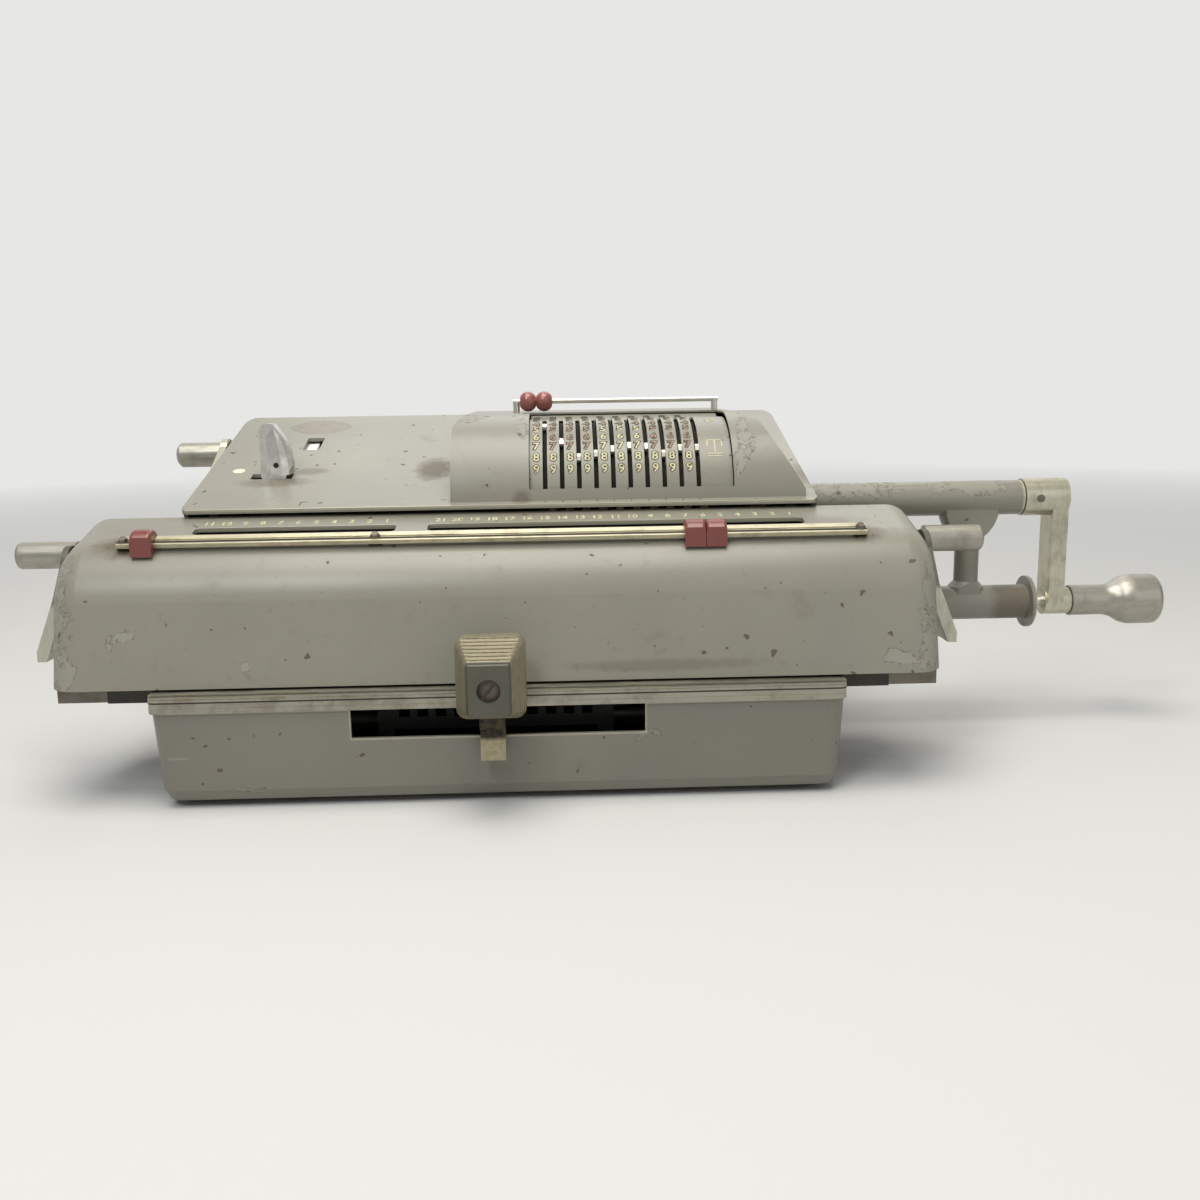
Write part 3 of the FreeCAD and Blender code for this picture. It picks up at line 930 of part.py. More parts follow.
def make_clear_levers():
    for name, side in (("counter", "-1"), ("result", "1")):
        def across(start, end, side=side):
            return (f"-({end})", f"-({start})") if side == "-1" else (start, end)

        face = "clear_arm_start + clear_arm_thickness"
        plate = across("clear_arm_start", face)
        hub = rod(f"{name}_clear_hub", "x", plate, ("register_y", "register_z"), "clear_hub_radius")
        knob_seat = rod(f"{name}_knob_seat", "x", plate, ("clear_knob_y", "clear_knob_z"), "clear_knob_radius")
        stem = rod(f"{name}_knob_stem", "x", across(face, "clear_knob_start"), ("clear_knob_y", "clear_knob_z"),
                   "clear_stem_radius")
        neck = slab(f"{name}_clear_neck", "YZ", [
            ("tail_front", "tail_top"), ("tail_rear", "tail_top"), ("register_y + 4", "register_z - clear_hub_radius * 0.8"),
            ("clear_knob_y - 2", "clear_knob_z - clear_knob_radius * 0.9"),
            ("clear_knob_y - 2", "clear_knob_z + clear_knob_radius * 0.9"),
            ("register_y + 2", "register_z + clear_hub_radius * 0.9"),
            ("register_y - 6", "register_z + clear_hub_radius * 0.5"),
        ], plate)
        outline = [
            ("clear_arm_start", "tail_top"), ("clear_arm_start", "tail_bottom + 17"),
            ("clear_arm_start + tail_flare - 1", "tail_bottom"), (f"{face} + tail_flare", "tail_bottom"),
            (f"{face} + tail_flare", "tail_bottom + 4"), (face, "tail_top"),
        ]
        if side == "-1":
            outline = [(f"-({x})", z) for x, z in outline]
        tail = slab(f"{name}_clear_tail", "XZ", outline, ("tail_front", "tail_rear"))
        bore = rod(f"{name}_clear_bore", "x", plate, ("register_y", "register_z"), "register_shaft_radius + running_gap")
        node(f"{name}_clear_lever", cut(f"{name}_clear", join(f"{name}_clear_solid", hub, knob_seat, stem, neck, tail), bore))
        turn = [
            ("clear_knob_start", "0"), ("clear_knob_start", "clear_knob_radius"), ("clear_knob_end - 1.6", "clear_knob_radius", "1.6", "right" if side == "1" else "left"),
            ("clear_knob_end", "clear_knob_radius - 1.6"), ("clear_knob_end", "0"),
        ]
        if side == "-1":
            turn = [(f"-({point[0]})", *point[1:]) for point in turn]
        node(f"{name}_clear_knob", turned(f"{name}_knob", "x", turn, ("clear_knob_y", "clear_knob_z")))


def make_reset_lever():
    """The rear left lever, on the stub of the left bushing, that returns the setting levers to nought."""
    face = "reset_arm_start + reset_arm_thickness"
    span = (f"-({face})", "-reset_arm_start")
    centre = ("drum_y", "drum_z")
    hub = rod("reset_hub", "x", span, centre, "stub_radius + 4")
    end = rod("reset_end", "x", span, ("reset_knob_y", "reset_knob_z"), "reset_knob_radius + 1.5")
    web = slab("reset_web", "YZ", [
        ("drum_y + 5", "drum_z - 6"), ("reset_knob_y + 4", "reset_knob_z - 5"), ("reset_knob_y - 4", "reset_knob_z + 5"),
        ("drum_y - 4", "drum_z + 8"),
    ], span)
    bore = rod("reset_bore", "x", span, centre, "stub_radius + running_gap")
    node("setting_clear_lever", cut("reset_arm", join("reset_solid", hub, end, web), bore))
    node("setting_clear_knob", turned("reset_knob", "x", [
        (f"-({face})", "0"), (f"-({face})", "reset_knob_radius"), ("1.6 - reset_knob_end", "reset_knob_radius"),
        ("-reset_knob_end", "reset_knob_radius - 1.6"), ("-reset_knob_end", "0"),
    ], ("reset_knob_y", "reset_knob_z")))


def make_mode_lever():
    """A fin above the plate on a stem that swings left and right on a pin below it, with the white flag on its tail."""
    plate = plate_z("mode_y")
    stem = slab("mode_fin", "XZ", [
        ("mode_x - 3.4", "mode_pivot_z - 3"), ("mode_x + 3.4", "mode_pivot_z - 3"), ("mode_x + 3.6", "mode_pivot_z + 2"),
        ("mode_x + 5.6", f"{plate} + 0.5"), ("mode_x + 8.2", f"{plate} + 4.5", "24", "left"),
        ("mode_x + 0.8", "mode_top - 0.6", "3.7", "left"), ("mode_x - 5.0", "mode_top - 4.4"),
        ("mode_x - 5.4", f"{plate} + 0.5"), ("mode_x - 3.6", "mode_pivot_z + 2"),
    ], ("mode_y - mode_thickness / 2", "mode_y + mode_thickness / 2"))
    bore = rod("mode_bore", "y", ("mode_y - mode_thickness", "mode_y + mode_thickness"), ("mode_x", "mode_pivot_z"),
               "mode_pin_radius + running_gap")
    tail_z = "mode_pivot_z - 1.4"
    drop = "cover_wall + 2.4"
    arm = block("flag_arm", ("mode_x + 0.5", "flag_right"), ("mode_y + mode_thickness / 2", "mode_y + mode_thickness / 2 + 2"),
                (tail_z, f"{tail_z} + 3"))
    bar = slab("flag_bar", "YZ", [
        ("mode_y + mode_thickness / 2", tail_z), ("mode_y + mode_thickness / 2", f"{tail_z} + 3"),
        ("flag_front + 3", plate_z("flag_front + 3", drop)), ("flag_rear", plate_z("flag_rear", drop)),
        ("flag_rear", plate_z("flag_rear", drop + " + 1.5")), ("flag_front + 4", plate_z("flag_front + 4", drop + " + 2.5")),
    ], ("flag_right - 5.2", "flag_right"))
    node("mode_lever", cut("mode_fin_bored", join("mode_solid", stem, arm, bar), bore))
    pin = rod("mode_pin", "y", ("mode_y - mode_thickness / 2 - 4", "mode_y + mode_thickness / 2 + 4.5"), ("mode_x", "mode_pivot_z"), "mode_pin_radius")
    front_y = ("mode_y - mode_thickness / 2 - 4", "mode_y - mode_thickness / 2 - 1.6")
    ear = slab("mode_ear_front", "YZ", [
        (front_y[0], "mode_pivot_z - 3.2"), (front_y[1], "mode_pivot_z - 3.2"),
        (front_y[1], plate_z(front_y[1], "cover_wall")), (front_y[0], plate_z(front_y[0], "cover_wall")),
    ], ("mode_x - 14", "mode_x + 5"))
    rear_y = ("mode_y + mode_thickness / 2 + 2.4", "mode_y + mode_thickness / 2 + 4.5")
    rear_ear = slab("mode_ear_rear", "YZ", [
        (rear_y[0], "mode_pivot_z - 3.2"), (rear_y[1], "mode_pivot_z - 3.2"),
        (rear_y[1], plate_z(rear_y[1], "cover_wall")), (rear_y[0], plate_z(rear_y[0], "cover_wall")),
    ], ("mode_x - 14", "mode_x + 2"))
    node("mode_lever_bracket", join("mode_bracket", pin, ear, rear_ear))


def make_shift_handle():
    """The tapered shift knob with its screw, and the pawl that reaches through the base opening to the rack."""
    back = ("handle_x - handle_back_half", "handle_x + handle_back_half")
    face = ("handle_x - handle_face_half", "handle_x + handle_face_half")
    loft = doc.addObject("Part::Loft", "handle_loft")
    sections = []
    shoulder = "(handle_back_y - handle_shoulder)"
    for number, (x, z, y, corner) in enumerate((
            (back, ("handle_bottom", "handle_top"), "handle_back_y", "handle_corner"),
            (back, ("handle_bottom", "handle_top"), shoulder, "handle_corner"),
            (face, ("handle_face_bottom", "handle_face_top"), "handle_front_y", "handle_face_corner"))):
        body = doc.addObject("PartDesign::Body", f"handle_level_{number}")
        sketch = draw(body, "XZ_Plane", window(x, z, corner))
        bind(sketch, "AttachmentOffset.Base.z", f"-({y})")
        sections.append(sketch)
    loft.Sections = sections
    loft.Solid = True
    loft.Ruled = True
    screw_z = "(handle_face_top + handle_face_bottom) / 2"
    seat_hole = rod("handle_screw_hole", "y", ("handle_front_y - 1", "handle_front_y + 3"), ("handle_x", screw_z), "handle_screw_radius + 0.3")
    pocket = block("handle_pocket", ("handle_x - handle_arm_half - 0.4", "handle_x + handle_arm_half + 0.4"),
                   ("handle_pivot_y - 3.4", "handle_back_y + 1"), ("rail_top - 1.5", "handle_pivot_z + 4"))
    pin_hole = rod("handle_pin_hole", "x", ("handle_x - handle_back_half + 2.6", "handle_x + handle_back_half - 2.6"),
                   ("handle_pivot_y", "handle_pivot_z"), "handle_pin_radius + running_gap")
    grooves = []
    for rib in range(8):
        share = f"({rib} + 0.6) / 8"
        y = f"{shoulder} + (handle_front_y - {shoulder}) * {share}"
        z = f"handle_top + (handle_face_top - handle_top) * {share} + rib_radius * 0.4"
        grooves.append(rod(f"top_rib_{rib}", "x", (f"{back[0]} - 1", f"{back[1]} + 1"), (y, z), "rib_radius"))
        x = f"{back[1]} + ({face[1]} - ({back[1]})) * {share} + rib_radius * 0.4"
        grooves.append(rod(f"side_rib_{rib}", "z", ("handle_bottom - 1", "handle_top + 1"), (x, y), "rib_radius"))
    node("shift_knob", cut("handle", loft, seat_hole, pocket, pin_hole, *grooves))
    head = rod("handle_screw", "y", ("handle_front_y - handle_screw_head", "handle_front_y + 3"), ("handle_x", screw_z), "handle_screw_radius")
    slot = block("handle_screw_slot", ("handle_x - handle_screw_radius - 1", "handle_x + handle_screw_radius + 1"),
                 ("handle_front_y - handle_screw_head - 1", "handle_front_y - handle_screw_head + 1"), (f"{screw_z} - 0.5", f"{screw_z} + 0.5"))
    node("shift_knob_screw", cut("handle_screw_slotted", head, slot))
    span = ("handle_x - tongue_half", "handle_x + tongue_half")
    low, high = "rack_bottom + rack_height + 0.2", "rack_bottom + rack_height + 0.2 + tongue_thickness"
    tip = "rack_y + rack_thickness + 1"
    pawl = slab("pawl", "YZ", [
        ("handle_back_y - 5", low), ("handle_back_y - 5", "handle_bottom"), ("handle_back_y - 0.5", "handle_bottom"),
        ("handle_back_y - 0.5", high), (tip, high), (tip, low), ("0", low), ("-3", f"{low} - 3.5"),
        ("-4.2", "tongue_bottom"), ("-4.2 - tongue_thickness", "tongue_bottom"), ("-5.4", f"{low} - 2.5"),
    ], span)
    node("shift_pawl", pawl)


make_base()
make_frames()
make_bushings()
make_rail()
make_upper_cover()
make_setting_shell()
make_rear_marker_rail()
make_crank_shaft()
make_grip()
make_pinwheels()
make_drive_gear()
make_setting_levers()
make_crank_bracket()
make_carriage_cover()
make_carriage_frame()
make_registers()
make_markers()
make_clear_levers()
make_reset_lever()
make_mode_lever()
make_shift_handle()
doc.recompute()

faults = [part.Name for part in doc.Objects if "Invalid" in part.State or "Error" in part.State]
for name, part in nodes.items():
    if part.Shape.isNull() or not part.Shape.isValid() or not part.Shape.Solids:
        faults.append(name)
if faults:
    raise RuntimeError("failed: " + ", ".join(faults))

os.makedirs("parts", exist_ok=True)
for name, part in nodes.items():
    solids = part.Shape.Solids
    shape = solids[0] if len(solids) == 1 else Part.makeCompound(solids)
    shape.exportStep(f"parts/{name}.step")
print(len(nodes), "nodes,", sum(len(part.Shape.Solids) for part in nodes.values()), "solids")
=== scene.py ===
# Desk pinwheel calculator: paints, metals, digits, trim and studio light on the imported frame, in metres.
import math

import bpy
import numpy as np
from mathutils import Matrix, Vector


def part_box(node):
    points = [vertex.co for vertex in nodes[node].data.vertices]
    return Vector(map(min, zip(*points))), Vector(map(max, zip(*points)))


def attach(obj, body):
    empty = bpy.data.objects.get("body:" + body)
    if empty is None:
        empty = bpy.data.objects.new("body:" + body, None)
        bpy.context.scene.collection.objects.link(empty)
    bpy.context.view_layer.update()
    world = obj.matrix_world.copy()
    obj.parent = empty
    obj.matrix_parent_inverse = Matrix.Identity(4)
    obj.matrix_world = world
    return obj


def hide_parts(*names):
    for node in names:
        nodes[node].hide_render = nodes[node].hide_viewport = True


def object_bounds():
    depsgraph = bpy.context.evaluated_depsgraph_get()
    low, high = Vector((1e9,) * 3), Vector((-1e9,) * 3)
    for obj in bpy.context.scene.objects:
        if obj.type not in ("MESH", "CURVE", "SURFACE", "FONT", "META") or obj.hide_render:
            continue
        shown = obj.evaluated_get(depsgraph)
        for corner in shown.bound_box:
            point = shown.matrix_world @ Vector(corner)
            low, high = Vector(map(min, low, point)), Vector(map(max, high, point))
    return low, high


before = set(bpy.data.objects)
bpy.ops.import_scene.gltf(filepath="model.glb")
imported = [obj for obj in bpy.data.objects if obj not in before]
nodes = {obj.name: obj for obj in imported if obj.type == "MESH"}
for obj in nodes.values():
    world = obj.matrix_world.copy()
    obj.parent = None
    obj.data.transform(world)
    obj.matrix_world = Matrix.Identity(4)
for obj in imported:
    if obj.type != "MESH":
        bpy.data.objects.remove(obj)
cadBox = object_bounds()
print("frame loaded:", len(nodes), "nodes")

# Places in millimetres from the middle of the base front; place() turns them into the frame.
layout = {
    "pitch": 7.0, "slotFirstX": 17.5, "slotCount": 10, "resultFirstX": -24.5, "resultCount": 21,
    "counterFirstX": -115.5, "counterCount": 11, "drum": (97.3, 101.2), "shellRadius": 37.6,
    "stepAngle": 8.65, "nineAngle": 29.0, "register": (45.3, 86.1), "wheelRadius": 9.0,
    "plateFront": (54.4, 106.1), "plateSlope": 16.1, "carriageRear": (57.0, 103.2), "carriageSlope": 15.0,
    "knobX": -2.8, "knobReach": 24.2, "modeX": -98.6, "modeY": 90.8, "windowNear": 12.5, "windowFar": 19.2,
    "strip": (26.6, 97.2), "stripTilt": 29.0,
}
knobLow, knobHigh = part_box("shift_knob")
shift = np.array([(knobLow[0] + knobHigh[0]) / 2 - layout["knobX"] / 1000,
                  cadBox[0][1] + layout["knobReach"] / 1000, 0.0])


def place(points):
    # millimetres from the base front into metres in the frame
    return np.asarray(points, float) / 1000 + shift


def plateZ(y):
    # height of the sloping plate: its front height plus the run times the slope
    frontY, frontZ = layout["plateFront"]
    return frontZ + (y - frontY) * math.tan(math.radians(layout["plateSlope"]))


def slopeOf(angle):
    return (0, math.cos(math.radians(angle)), math.sin(math.radians(angle)))


class Wire:
    # a socket in a material; sums and products of wires add Math nodes
    def __init__(self, maker, socket):
        self.maker, self.socket = maker, socket

    def math(self, operation, first, second=None):
        inputs = {0: first} if second is None else {0: first, 1: second}
        return self.maker.node("ShaderNodeMath", {"operation": operation}, inputs)

    def __add__(self, other): return self.math("ADD", self, other)
    def __radd__(self, other): return self.math("ADD", other, self)
    def __sub__(self, other): return self.math("SUBTRACT", self, other)
    def __rsub__(self, other): return self.math("SUBTRACT", other, self)
    def __mul__(self, other): return self.math("MULTIPLY", self, other)
    def __rmul__(self, other): return self.math("MULTIPLY", other, self)
    def __abs__(self): return self.math("ABSOLUTE", self)

    def held(self, low=0.0, high=1.0):
        return self.maker.node("ShaderNodeClamp", {}, {0: self, 1: low, 2: high})

    def least(self, other): return self.math("MINIMUM", self, other)

    def above(self, edge, softness):
        # 0 below the edge, 1 above it, with a soft step between
        return ((self - (edge - softness / 2)) * (1 / softness)).held()

    def between(self, low, high, softness):
        return self.above(low, softness) * (1 - self.above(high, softness))


class Finish:
    # a material under construction, read in Object coordinates (metres)
    def __init__(self, name):
        self.material = bpy.data.materials.new(name)
        self.material.use_nodes = True
        self.tree = self.material.node_tree
        self.shader = self.tree.nodes["Principled BSDF"]
        self.where = self.node("ShaderNodeTexCoord", {}, {}, "Object")

    def node(self, kind, settings, inputs, output=0):
        made = self.tree.nodes.new(kind)
        for name, setting in settings.items():
            setattr(made, name, setting)
        for name, source in inputs.items():
            if isinstance(source, Wire):
                self.tree.links.new(source.socket, made.inputs[name])
            else:
                made.inputs[name].default_value = source
        return Wire(self, made.outputs[output])

    def noise(self, scale, detail=4.0, rough=0.55, stretch=None):
        where = self.where if stretch is None else self.node(
            "ShaderNodeMapping", {}, {"Vector": self.where, "Scale": stretch})
        return self.node("ShaderNodeTexNoise", {}, {
            "Vector": where, "Scale": scale, "Detail": detail, "Roughness": rough})

    def mix(self, factor, first, second):
        # colours are tuples or wires; the factor may be a number or a wire
        first = (*first, 1) if isinstance(first, tuple) else first
        second = (*second, 1) if isinstance(second, tuple) else second
        made = self.node("ShaderNodeMix", {"data_type": "RGBA"}, {0: factor}, 2)
        for number, source in ((6, first), (7, second)):
            if isinstance(source, Wire):
                self.tree.links.new(source.socket, made.socket.node.inputs[number])
            else:
                made.socket.node.inputs[number].default_value = source
        return made

    def vector(self, operation, first, second, output=0):
        return self.node("ShaderNodeVectorMath", {"operation": operation}, {0: first, 1: second}, output)

    def length(self, vector):
        return self.node("ShaderNodeVectorMath", {"operation": "LENGTH"}, {0: vector}, 1)

    def spot(self, centre, radii):
        # how near a point is to a place: 1 at the centre, 0 from the edge of the ellipsoid outwards
        moved = self.vector("SUBTRACT", self.where, tuple(centre))
        scaled = self.vector("MULTIPLY", moved, tuple(1 / r for r in radii))
        return (1 - self.length(scaled)).held()

    def along(self, direction, origin):
        # distance in millimetres along a direction from a place
        moved = self.vector("SUBTRACT", self.where, tuple(place(origin)))
        return self.vector("DOT_PRODUCT", moved, tuple(1000 * d for d in direction), 1)

    def inside(self, low, high, softness=0.3):
        # 1 inside a box given in millimetres
        mask = None
        for axis in range(3):
            direction = tuple(float(axis == other) for other in range(3))
            step = self.along(direction, (0, 0, 0)).between(low[axis], high[axis], softness)
            mask = step if mask is None else mask * step
        return mask

    def bump(self, height, strength, distance=0.0004):
        return self.node("ShaderNodeBump", {}, {"Strength": strength, "Distance": distance, "Height": height})

    def done(self, colour, roughness, normal=None, metallic=0.0, **fixed):
        tone = (*colour, 1) if isinstance(colour, tuple) else colour
        sources = {"Base Color": tone, "Roughness": roughness, "Metallic": metallic}
        if normal is not None:
            sources["Normal"] = normal
        for name, source in sources.items():
            if isinstance(source, Wire):
                self.tree.links.new(source.socket, self.shader.inputs[name])
            else:
                self.shader.inputs[name].default_value = source
        for name, number in fixed.items():
            self.shader.inputs[name.replace("_", " ")].default_value = number
        return self.material


def tinted(colour, factor):
    return tuple(min(1.0, c * factor) for c in colour)


paint = {
    "colour": (0.268, 0.259, 0.206), "darker": (0.232, 0.224, 0.184), "brown": (0.085, 0.058, 0.032),
    "primer": (0.300, 0.292, 0.245), "worn": (0.50, 0.47, 0.36), "roughness": 0.27, "speckEdge": 0.745,
    "grimeEdge": 0.66, "chipEdge": 0.61, "rimWidth": 0.024, "scratchEdge": 0.785,
}
# scale, detail, roughness and stretch of each pattern in the enamel
paintNoise = {
    "cloud": (11.0, 5.0), "fine": (1100.0, 3.0), "speck": (230.0, 1.5, 0.4), "blotch": (55.0, 6.0, 0.65),
    "flake": (210.0, 5.0, 0.6), "scratch": (42.0, 2.0, 0.5, (1.0, 9.0, 9.0)),
}
brown = (0.12, 0.075, 0.035)


def stovePaint(name, tint, chips, grime=(), edges=(), lines=(), patches=(), dark=None):
    # worn enamel: a cloudy tone, fine orange-peel, specks, flaked places with dark rims, worn edges and
    # grime; a dark box is painted near-black as shade
    f = Finish(name)
    cloud, fine, speck, blotch, flake, scratch = (f.noise(*paintNoise[key]) for key in paintNoise)
    base = f.mix(cloud.above(0.5, 0.35), tinted(paint["colour"], tint), tinted(paint["darker"], tint))
    base = f.mix(fine * 0.10, base, tinted(paint["colour"], tint * 0.6))
    stain = blotch.above(paint["grimeEdge"], 0.12) * 0.22 + speck.above(paint["speckEdge"], 0.012) * 0.85
    for centre, radii, strength in grime:
        near = f.spot(centre, radii)
        stain = stain + (near * 1.2 + flake * 0.9 - 0.35).above(0.5, 0.6) * near.above(0.05, 0.35) * strength
    stained = f.mix(stain.held(), base, paint["brown"])
    lifted = rims = 0.0
    for centre, radii in chips:
        near = f.spot(centre, radii)
        level = (flake * 0.65 + blotch * 0.35) + near * 0.25
        region = near.above(0.04, 0.08)
        lifted = lifted + level.above(paint["chipEdge"], 0.008) * region
        rims = rims + (1 - abs(level - paint["chipEdge"]).above(paint["rimWidth"] / 2, 0.006)) * region
    lifted = lifted.held()
    colour = f.mix(lifted * 0.55, stained, tinted(paint["primer"], tint))
    colour = f.mix((rims * (fine * 2.6 - 0.75)).held() * 0.85, colour, paint["brown"])
    bare = scratch.above(paint["scratchEdge"], 0.010) * 0.3
    for centre, radii in edges:
        bare = bare + (f.spot(centre, radii) * 1.5 + flake * 0.9).above(1.02, 0.18)
    for low, high in lines:
        bare = bare + f.inside(low, high, 0.4) * (0.25 + flake * 0.8)
    bare = bare.held()
    colour = f.mix(bare * 0.8, colour, paint["worn"])
    for shade, amount, first, second, radii in patches:
        near = f.spot(first, radii).least(f.spot(second, radii))
        rim = near.between(0.0, 0.05, 0.03)
        mask = near.above(0.006, 0.012) * (0.6 + rim * 0.7) * (0.35 + flake * 1.1)
        colour = f.mix((mask * amount).held(), colour, shade)
    # painted shade: near-black inside the dark box, standing for the unlit inside of a housing
    if dark is not None:
        colour = f.mix(f.inside(*dark) * 0.96, colour, (0.004, 0.004, 0.004))
    height = fine * 0.14 - lifted * 1.2 + cloud * 0.1 - speck.above(paint["speckEdge"], 0.02) * 0.8
    rough = paint["roughness"] + cloud * 0.14 + stain * 0.25 + lifted * 0.2
    return f.done(colour, rough, f.bump(height, 0.38), bare * 0.5, Specular_IOR_Level=0.5)


def barePlate(name, colour, dirt, roughness, stretch, amount, metallic=0.9, bands=()):
    # aged bare or plated metal: drawn grain along one way, dull clouds, brown dirt, and bands across it, some
    # of them painted shade
    f = Finish(name)
    grain = f.noise(900.0, 3.0, 0.6, stretch)
    cloud = f.noise(38.0, 5.0, 0.6)
    dirtMask = (f.noise(130.0, 5.0, 0.62) * 0.6 + cloud * 0.4).above(0.56, 0.14) * amount
    shade = f.mix(grain, tinted(colour, 0.72), tinted(colour, 1.18))
    tone = f.mix(dirtMask.held(), shade, dirt)
    for direction, origin, low, high, soft, bandColour, strength in bands:
        step = f.along(direction, origin).between(low, high, soft)
        tone = f.mix((step * (strength + grain * 0.1)).held(), tone, bandColour)
        # dark bands, painted shade and dirt alike, also make the metal duller and less metallic
        dirtMask = dirtMask + step * (0.5 if sum(bandColour) < 0.3 else 0.0)
    dirtMask = dirtMask.held()
    rough = roughness + cloud * 0.18 + dirtMask * 0.3
    return f.done(tone, rough, f.bump(grain * 0.4 + cloud * 0.2, 0.18, 0.0002), metallic - dirtMask * 0.6)


def moulded(name, colour, dirt, roughness, amount, **fixed):
    # moulded or turned non-metal with a soft bloom, hairline scratches and dirt
    f = Finish(name)
    cloud = f.noise(80.0, 4.0)
    scratch = f.noise(300.0, 2.0, 0.5, (1.0, 8.0, 8.0))
    dirtMask = f.noise(210.0, 5.0, 0.6).above(0.60, 0.12) * amount
    tone = f.mix(cloud, tinted(colour, 0.8), tinted(colour, 1.2))
    tone = f.mix(dirtMask, tone, dirt)
    return f.done(tone, roughness + cloud * 0.12, f.bump(scratch, 0.12, 0.0002), **fixed)


def inked(name, colour, grime=(0.10, 0.075, 0.045), edge=0.60):
    # filled or printed signs, rubbed away in places
    f = Finish(name)
    wear = f.noise(700.0, 4.0).above(edge, 0.12)
    return f.done(f.mix(wear, colour, grime), 0.6)


def leverSteel(name):
    # ring in the slots, near-black as painted shade inside them, polished at the tip where the finger moves
    # it: by distance from the drum's axis
    f = Finish(name)
    y, z = layout["drum"]
    moved = f.vector("MULTIPLY", f.vector("SUBTRACT", f.where, tuple(place((0, y, z)))), (0, 1, 1))
    reach = f.length(moved) * 1000
    tip = reach.above(36.9, 0.3)
    cloud = f.noise(300.0, 4.0)
    slotShadeTone = f.mix(cloud, (0.008, 0.007, 0.006), (0.022, 0.018, 0.013))
    bright = f.mix(cloud.above(0.6, 0.2) * 0.5, (0.82, 0.79, 0.68), (0.40, 0.33, 0.20))
    tone = f.mix(tip, slotShadeTone, bright)
    return f.done(tone, 0.75 - tip * 0.45, f.bump(cloud, 0.1, 0.0002), tip * 0.9, Specular_IOR_Level=0.15)


def castKnob(name):
    # bronze-grey casting: dark flat face, ribs rubbed light on top and at the right
    f = Finish(name)
    cloud = f.noise(45.0, 5.0, 0.6)
    grain = f.noise(500.0, 3.0, 0.6, (1.0, 1.0, 0.4))
    face = f.along((0, -1, 0), (0, -20.6, 0)).above(0.2, 0.8)
    rubbed = f.mix(cloud, (0.19, 0.165, 0.105), (0.31, 0.275, 0.185))
    flat = f.mix(cloud, (0.060, 0.061, 0.050), (0.115, 0.116, 0.096))
    tone = f.mix(face * 0.9, rubbed, flat)
    tone = f.mix(grain.above(0.56, 0.2) * 0.35, tone, (0.10, 0.085, 0.055))
    return f.done(tone, 0.42 + cloud * 0.12, f.bump(grain + cloud, 0.2, 0.0003), 0.45)


def pawlMetal(name):
    # near-black above the lip of the base mouth, painted shade inside it; a tongue rubbed to bare brass-grey
    # below
    f = Finish(name)
    grain = f.noise(420.0, 4.0, 0.6)
    mouthShade = f.along((0, 0, 1), (0, 0, 0)).above(26.6, 1.6)
    light = f.mix(grain, (0.26, 0.22, 0.13), (0.52, 0.47, 0.33))
    tone = f.mix(mouthShade, light, f.mix(grain.above(0.5, 0.25), (0.012, 0.010, 0.007), (0.085, 0.062, 0.034)))
    return f.done(tone, 0.36 + mouthShade * 0.25, f.bump(grain, 0.5, 0.0006), 0.75 - mouthShade * 0.5)


chipPlaces = [
    (place((-163, 12, 52)), (0.010, 0.05, 0.020)), (place((-164, 12, 70)), (0.009, 0.05, 0.020)),
    (place((-166, 24, 84)), (0.010, 0.04, 0.014)), (place((-159.5, 3, 66)), (0.005, 0.02, 0.007)),
    (place((-140, 3, 64.2)), (0.0085, 0.02, 0.0046)), (place((-143.6, 3, 59.5)), (0.0035, 0.02, 0.006)),
    (place((163, 12, 56)), (0.008, 0.05, 0.016)), (place((165, 14, 72)), (0.006, 0.05, 0.016)),
    (place((150, 8, 51)), (0.010, 0.02, 0.004)), (place((-94, 3, 53.4)), (0.0022, 0.02, 0.0030)),
]
coverGrime = [
    (place((-30.5, 96, 118)), (0.011, 0.020, 0.010), 0.75),
    (place((131, 84, 106)), (0.014, 0.022, 0.022), 0.55),
    (place((-98, 84, 114.5)), (0.020, 0.010, 0.004), 0.5),
    (place((-84, 96, 118)), (0.010, 0.007, 0.003), 0.4), (place((8, 62, 108)), (0.006, 0.010, 0.006), 0.5),
]
carriageGrime = [
    (place((-143, 28, 97.5)), (0.014, 0.012, 0.010), 0.8),
    (place((142, 28, 97.5)), (0.010, 0.010, 0.008), 0.6),
    (place((0, 55, 102.6)), (0.170, 0.004, 0.003), 0.35), (place((120, 40, 99)), (0.030, 0.010, 0.004), 0.3),
    (place((96, 22, 95)), (0.045, 0.006, 0.004), 0.35), (place((60, 6, 50)), (0.05, 0.01, 0.003), 0.35),
]
rearY, rearZ = layout["carriageRear"]
carriageUp = slopeOf(layout["carriageSlope"])
windowRun = [(rearY - layout[edge] * carriageUp[1], rearZ - layout[edge] * carriageUp[2])
             for edge in ("windowNear", "windowFar")]
coverEdges = [(place((0, 54.5, 106.0)), (9.0, 0.0011, 0.0011))]
coverChips = [(place((101, 80, 132)), (0.005, 0.03, 0.014)), (place((8, 80, 134)), (0.005, 0.02, 0.009)),
              (place((-16, 92, 139)), (0.012, 0.02, 0.003)), (place((98, 66, 121)), (0.003, 0.012, 0.012))]
registers = [(layout["counterFirstX"], layout["counterCount"]),
             (layout["resultFirstX"], layout["resultCount"])]
windowSides = [(firstX - layout["pitch"] / 2, firstX + (count - 0.5) * layout["pitch"])
               for firstX, count in registers]
windowLines = [((left, y - 0.5, z - 0.7), (right, y + 0.5, z + 0.7))
               for left, right in windowSides for y, z in windowRun]
carriageEdges = [(place((0, 2, 45)), (9.0, 0.004, 0.0007))]
baseLines = [((-55.6, -1, 25.5), (53.9, 1.8, 26.25)), ((-55.7, -1, 26), (-55.1, 1.8, 37)),
             ((53.2, -1, 26), (53.8, 1.8, 37)), ((-128, -1, 36.9), (128, 1.2, 37.6))]
